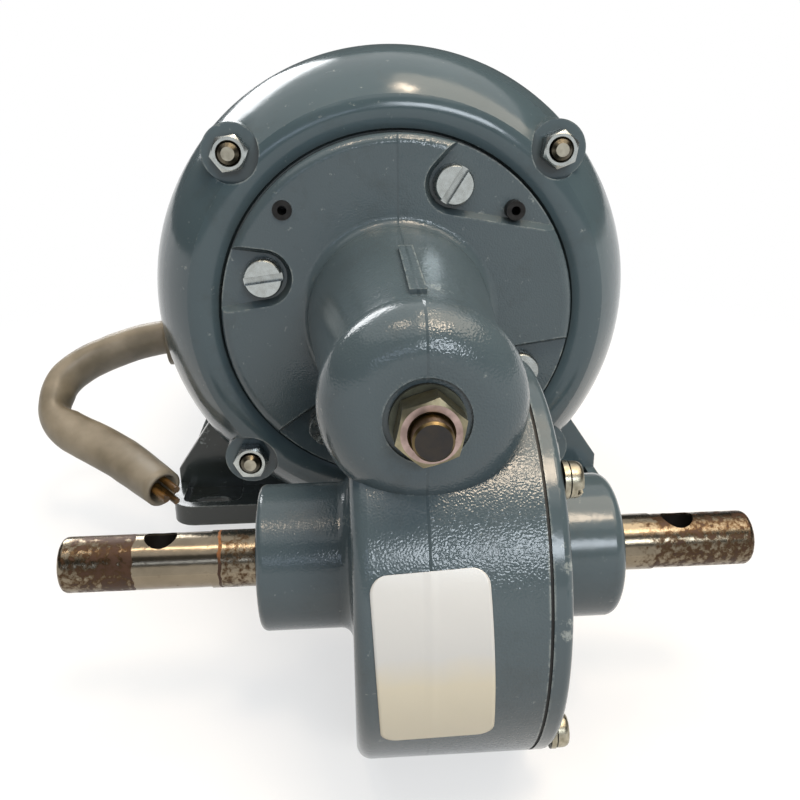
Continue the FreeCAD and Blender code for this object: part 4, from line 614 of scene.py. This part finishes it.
# %% Sleeve tube
shape = bmesh.new()
bend_side = (line[0] - line[len(line) // 2]).cross(line[-1] - line[len(line) // 2]).normalized()
rings = []
travelled = 0.0
inner = ((line[0] + line[-1]) / 2 - line[len(line) // 2]).normalized()
for i, at in enumerate(line):
    ahead = line[min(i + 1, len(line) - 1)] - line[max(i - 1, 0)]
    ahead.normalize()
    flat = ahead.cross(bend_side).normalized()
    thick = flat.cross(ahead).normalized()
    share = travelled / sleeve_length * (len(SLEEVE_WIDTHS) - 1)
    low = min(int(share), len(SLEEVE_WIDTHS) - 2)
    width = SLEEVE_WIDTHS[low] + (SLEEVE_WIDTHS[low + 1] - SLEEVE_WIDTHS[low]) * (share - low)
    ring = []
    for k in range(SIDES):
        angle = 2 * math.pi * k / SIDES
        out = flat * math.cos(angle) * width + thick * math.sin(angle) * (2 - width)
        crease = 1 + CREASE * noise.noise(Vector((at.x, at.y + angle * 3 * MM, at.z)) / CREASE_SIZE)
        fold = math.exp(-((travelled / sleeve_length - FOLD_AT) / FOLD_LENGTH) ** 2)
        crease -= FOLD_PINCH * fold * max(0.0, inner.dot(out.normalized())) ** 2
        ring.append(shape.verts.new(at + out * SLEEVE_D / 2 * crease))
    rings.append(ring)
    if i < len(steps):
        travelled += steps[i]
for back in range(SLEEVE_HOLLOW):
    at = line[-1 - back]
    source = rings[len(line) - 1 - back]
    rings.append([shape.verts.new(at + (vertex.co - at) * SLEEVE_BORE) for vertex in source])
for first, second in zip(rings, rings[1:]):
    for k in range(SIDES):
        shape.faces.new((first[k], first[(k + 1) % SIDES], second[(k + 1) % SIDES], second[k]))
shape.faces.new(rings[0])
shape.faces.new(rings[-1])
bmesh.ops.recalc_face_normals(shape, faces=shape.faces)
for face in shape.faces:
    face.smooth = True
sleeve_mesh = bpy.data.meshes.new("cable_sleeve_soft")
shape.to_mesh(sleeve_mesh)
shape.free()
sleeve = new_piece("cable_sleeve_soft", sleeve_mesh, "housing", pvc)
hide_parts("cable_sleeve")
print("sleeve", len(sleeve_mesh.polygons), "faces")

# %% [markdown]
# ## Slotted screw heads
# The gearbox is held by slotted cheese heads and the cover by slotted pan heads. Both are one rule with different
# sizes, so a Geometry Nodes tree makes them: a cylinder whose upper rings shrink towards the edge, a slot cut by a
# boolean, and one instance on each point. A turn stored on each point sets the direction of its slot.


# %% Head tree
def slotted_head_tree():
    tree = bpy.data.node_groups.new("slotted_heads", "GeometryNodeTree")
    tree.interface.new_socket("Geometry", in_out="INPUT", socket_type="NodeSocketGeometry")
    for name in ("Head radius", "Head height", "Edge round", "Edge power", "Slot width", "Slot depth"):
        tree.interface.new_socket(name, in_out="INPUT", socket_type="NodeSocketFloat")
    tree.interface.new_socket("Material", in_out="INPUT", socket_type="NodeSocketMaterial")
    tree.interface.new_socket("Geometry", in_out="OUTPUT", socket_type="NodeSocketGeometry")
    sizes = add(tree, "NodeGroupInput").outputs
    blank = add(tree, "GeometryNodeMeshCylinder", {"Vertices": 48, "Side Segments": 10, "Radius": sizes[1],
                                                   "Depth": sizes[2]})
    place = add(tree, "GeometryNodeInputPosition").outputs[0]
    parts = add(tree, "ShaderNodeSeparateXYZ", {0: place}).outputs
    height = add(tree, "ShaderNodeMath", {0: parts[2], 1: sizes[2]}, operation="DIVIDE")
    level = add(tree, "ShaderNodeMath", {0: height.outputs[0], 1: 0.5}, operation="ADD", use_clamp=True)
    curl = add(tree, "ShaderNodeMath", {0: level.outputs[0], 1: sizes[4]}, operation="POWER")
    pull = add(tree, "ShaderNodeMath", {0: curl.outputs[0], 1: sizes[3]}, operation="MULTIPLY")
    keep = add(tree, "ShaderNodeMath", {0: 1.0, 1: pull.outputs[0]}, operation="SUBTRACT")
    x = add(tree, "ShaderNodeMath", {0: parts[0], 1: keep.outputs[0]}, operation="MULTIPLY")
    y = add(tree, "ShaderNodeMath", {0: parts[1], 1: keep.outputs[0]}, operation="MULTIPLY")
    rounded = add(tree, "ShaderNodeCombineXYZ", {0: x.outputs[0], 1: y.outputs[0], 2: parts[2]})
    head = add(tree, "GeometryNodeSetPosition", {"Geometry": blank.outputs[0], "Position": rounded.outputs[0]})
    twice = add(tree, "ShaderNodeMath", {0: sizes[6], 1: 2.0}, operation="MULTIPLY")
    length = add(tree, "ShaderNodeMath", {0: sizes[1], 1: 3.0}, operation="MULTIPLY")
    slot_size = add(tree, "ShaderNodeCombineXYZ", {0: length.outputs[0], 1: sizes[5], 2: twice.outputs[0]})
    slot = add(tree, "GeometryNodeMeshCube", {"Size": slot_size.outputs[0]})
    top = add(tree, "ShaderNodeMath", {0: sizes[2], 1: 0.5}, operation="MULTIPLY")
    lift = add(tree, "ShaderNodeCombineXYZ", {2: top.outputs[0]})
    raised = add(tree, "GeometryNodeTransform", {"Geometry": slot.outputs[0], "Translation": lift.outputs[0]})
    cut = add(tree, "GeometryNodeMeshBoolean", {"Mesh 1": head.outputs[0], "Mesh 2": raised.outputs[0]},
              operation="DIFFERENCE")
    turn = add(tree, "GeometryNodeInputNamedAttribute", {"Name": "turn"}, data_type="FLOAT_VECTOR")
    heads = add(tree, "GeometryNodeInstanceOnPoints", {"Points": sizes[0], "Instance": cut.outputs[0],
                                                       "Rotation": turn.outputs[0]})
    real = add(tree, "GeometryNodeRealizeInstances", {"Geometry": heads.outputs[0]})
    plated = add(tree, "GeometryNodeSetMaterial", {"Geometry": real.outputs[0], "Material": sizes[7]})
    add(tree, "NodeGroupOutput", {"Geometry": plated.outputs[0]})
    return tree


head_tree = slotted_head_tree()
print("head tree", len(head_tree.nodes), "nodes")


# %% [markdown]
# ## Heads on their screws
# Each screw's place is read from its own solid in the frame: its middle across, and its head end along the screw. The
# points go through the tree once, and the result is kept as a plain mesh.


# %% Screw heads
def solid_boxes(node):
    """Lowest and highest corner of each separate solid of a node."""
    shape = bmesh.new()
    shape.from_mesh(nodes[node].data)
    bmesh.ops.remove_doubles(shape, verts=shape.verts, dist=0.001 * MM)
    waiting, found = set(shape.verts), []
    while waiting:
        stack, group = [waiting.pop()], []
        while stack:
            vertex = stack.pop()
            group.append(vertex.co.copy())
            for edge in vertex.link_edges:
                other = edge.other_vert(vertex)
                if other in waiting:
                    waiting.remove(other)
                    stack.append(other)
        found.append((Vector(map(min, zip(*group))), Vector(map(max, zip(*group)))))
    shape.free()
    return sorted(found, key=lambda corners: corners[0].to_tuple(4))


def slotted_heads(name, node, face_out, sizes, plating, slot_turns):
    head_height = sizes["Head height"]
    points, turns = [], []
    for (low, high), turn in zip(solid_boxes(node), slot_turns):
        middle = (low + high) / 2
        top = max(face_out.dot(low), face_out.dot(high))
        points.append(middle + face_out * (top - face_out.dot(middle) - head_height / 2))
        way = face_out.to_track_quat("Z", "Y").to_matrix() @ Matrix.Rotation(math.radians(turn), 3, "Z")
        turns.append(way.to_euler())
    mesh = bpy.data.meshes.new(name + "_points")
    mesh.from_pydata(points, [], [])
    stored = mesh.attributes.new("turn", "FLOAT_VECTOR", "POINT")
    stored.data.foreach_set("vector", [value for turn in turns for value in turn])
    carrier = bpy.data.objects.new(name + "_points", mesh)
    bpy.context.scene.collection.objects.link(carrier)
    modifier = carrier.modifiers.new("heads", "NODES")
    modifier.node_group = head_tree
    for item in head_tree.interface.items_tree:
        if item.in_out == "INPUT" and item.name in sizes:
            modifier[item.identifier] = sizes[item.name]
        if item.in_out == "INPUT" and item.name == "Material":
            modifier[item.identifier] = plating
    bpy.context.view_layer.update()
    made = bpy.data.meshes.new_from_object(carrier.evaluated_get(bpy.context.evaluated_depsgraph_get()))
    bpy.data.objects.remove(carrier)
    for polygon in made.polygons:
        polygon.use_smooth = True
    made.set_sharp_from_angle(angle=math.radians(35))
    piece = new_piece(name, made, "housing", None)
    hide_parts(node)
    print(name, len(points), "heads", len(made.polygons), "faces")


CHEESE_HEAD = {"Head radius": 4.8 * MM, "Head height": 3.9 * MM, "Edge round": 0.09, "Edge power": 10.0,
               "Slot width": 1.9 * MM, "Slot depth": 1.5 * MM}
PAN_HEAD = {"Head radius": 3.45 * MM, "Head height": 2.3 * MM, "Edge round": 0.16, "Edge power": 5.0,
            "Slot width": 1.2 * MM, "Slot depth": 1.2 * MM}
slotted_heads("gearbox_screw_heads", "flange_screws", Vector((0, -1, 0)), CHEESE_HEAD, zinc, (7, 40, 57, -20))
slotted_heads("cover_screw_heads", "cover_screws", Vector((1, 0, 0)), PAN_HEAD, warm_zinc, (60, 20, 75, 40))

# %% [markdown]
# ## Silver label
# A silver foil label is stuck round the front of the drum, a little crooked, and is bare here. It is a sheet bent round
# the drum. Its rows are set closer near the ends, and each row's width follows the rounded corners, so the outline is
# true without a cut. Small bumps from the peel under it show through the foil.

# %% Label
LABEL_WIDTH = 21.0 * MM
LABEL_HEIGHT = 36.6 * MM
LABEL_CORNER = 3.2 * MM
LABEL_LIFT = 0.10 * MM
LABEL_THICK = 0.08 * MM
LABEL_X = 0.5 * MM
LABEL_TURN = 2.7
RIPPLE, RIPPLE_SIZE = 0.03 * MM, 5 * MM
ROWS, COLUMNS = 64, 36

shape = bmesh.new()
rows = []
spin = math.radians(LABEL_TURN)
for i in range(ROWS + 1):
    v = -math.cos(math.pi * i / ROWS) * LABEL_HEIGHT / 2
    into_corner = max(0.0, abs(v) - (LABEL_HEIGHT / 2 - LABEL_CORNER))
    half = LABEL_WIDTH / 2 - LABEL_CORNER + math.sqrt(max(0.0, LABEL_CORNER ** 2 - into_corner ** 2))
    row = []
    for k in range(COLUMNS + 1):
        u = (2 * k / COLUMNS - 1) * half
        x = LABEL_X + u * math.cos(spin) - v * math.sin(spin)
        arc = (u * math.sin(spin) + v * math.cos(spin)) / drum_r
        ripple = RIPPLE * noise.noise(Vector((u, v, 0)) / RIPPLE_SIZE)
        radius = drum_r + LABEL_LIFT + ripple
        row.append(shape.verts.new((x, wheel_at.y - radius * math.cos(arc), wheel_at.z + radius * math.sin(arc))))
    rows.append(row)
for lower, upper in zip(rows, rows[1:]):
    for k in range(COLUMNS):
        shape.faces.new((lower[k], lower[k + 1], upper[k + 1], upper[k]))
bmesh.ops.recalc_face_normals(shape, faces=shape.faces)
for face in shape.faces:
    face.smooth = True
label_mesh = bpy.data.meshes.new("foil_label")
shape.to_mesh(label_mesh)
shape.free()
print("label", len(label_mesh.polygons), "faces")

# %% [markdown]
# ## Foil
# The foil is dull silver, cleaner at the top and yellowed below. It also shows the casting's step as a soft ridge.

# %% Foil
foil, tree = new_material("aged_aluminium_foil")
place = add(tree, "ShaderNodeTexCoord").outputs["Object"]
parts = add(tree, "ShaderNodeSeparateXYZ", {0: place}).outputs
blur = add(tree, "ShaderNodeTexNoise", {"Vector": place, "Scale": 1 / (7 * MM), "Detail": 5.0}).outputs["Fac"]
upward = add(tree, "ShaderNodeMath", {0: blur, 1: 5 * MM, 2: parts["Z"]}, operation="MULTIPLY_ADD")
clean = add(tree, "ShaderNodeMapRange", {"Value": upward.outputs[0], "From Min": 27 * MM,
                                         "From Max": 34 * MM}).outputs[0]
tone = add(tree, "ShaderNodeMix", {0: clean, 6: linear("#DCD5C1"), 7: linear("#D3D4D3")}, data_type="RGBA")
rough = add(tree, "ShaderNodeMapRange", {"Value": blur, "To Min": 0.30, "To Max": 0.48})
peel = add(tree, "ShaderNodeTexNoise", {"Vector": place, "Scale": 1 / (1.4 * MM), "Detail": 2.0})
bump = add(tree, "ShaderNodeBump", {"Strength": 0.12, "Distance": 0.1 * MM, "Height": peel.outputs["Fac"]})
off_step = add(tree, "ShaderNodeMath", {0: parts["X"]}, operation="ABSOLUTE")
ridge = add(tree, "ShaderNodeMapRange", {"Value": off_step.outputs[0], "From Max": 1.6 * MM, "To Min": 1.0,
                                         "To Max": 0.0}, interpolation_type="SMOOTHSTEP")
ridged = add(tree, "ShaderNodeBump", {"Strength": 0.5, "Distance": 0.15 * MM, "Height": ridge.outputs[0],
                                      "Normal": bump.outputs[0]})
surface = add(tree, "ShaderNodeBsdfPrincipled", {"Base Color": tone.outputs[2], "Metallic": 0.15,
                                                 "Roughness": rough.outputs[0], "Normal": ridged.outputs[0]})
finish_material(tree, surface)
label = new_piece("foil_label", label_mesh, "housing", foil)
solid = label.modifiers.new("thickness", "SOLIDIFY")
solid.thickness = LABEL_THICK
solid.offset = 1.0
print("foil", foil.name)
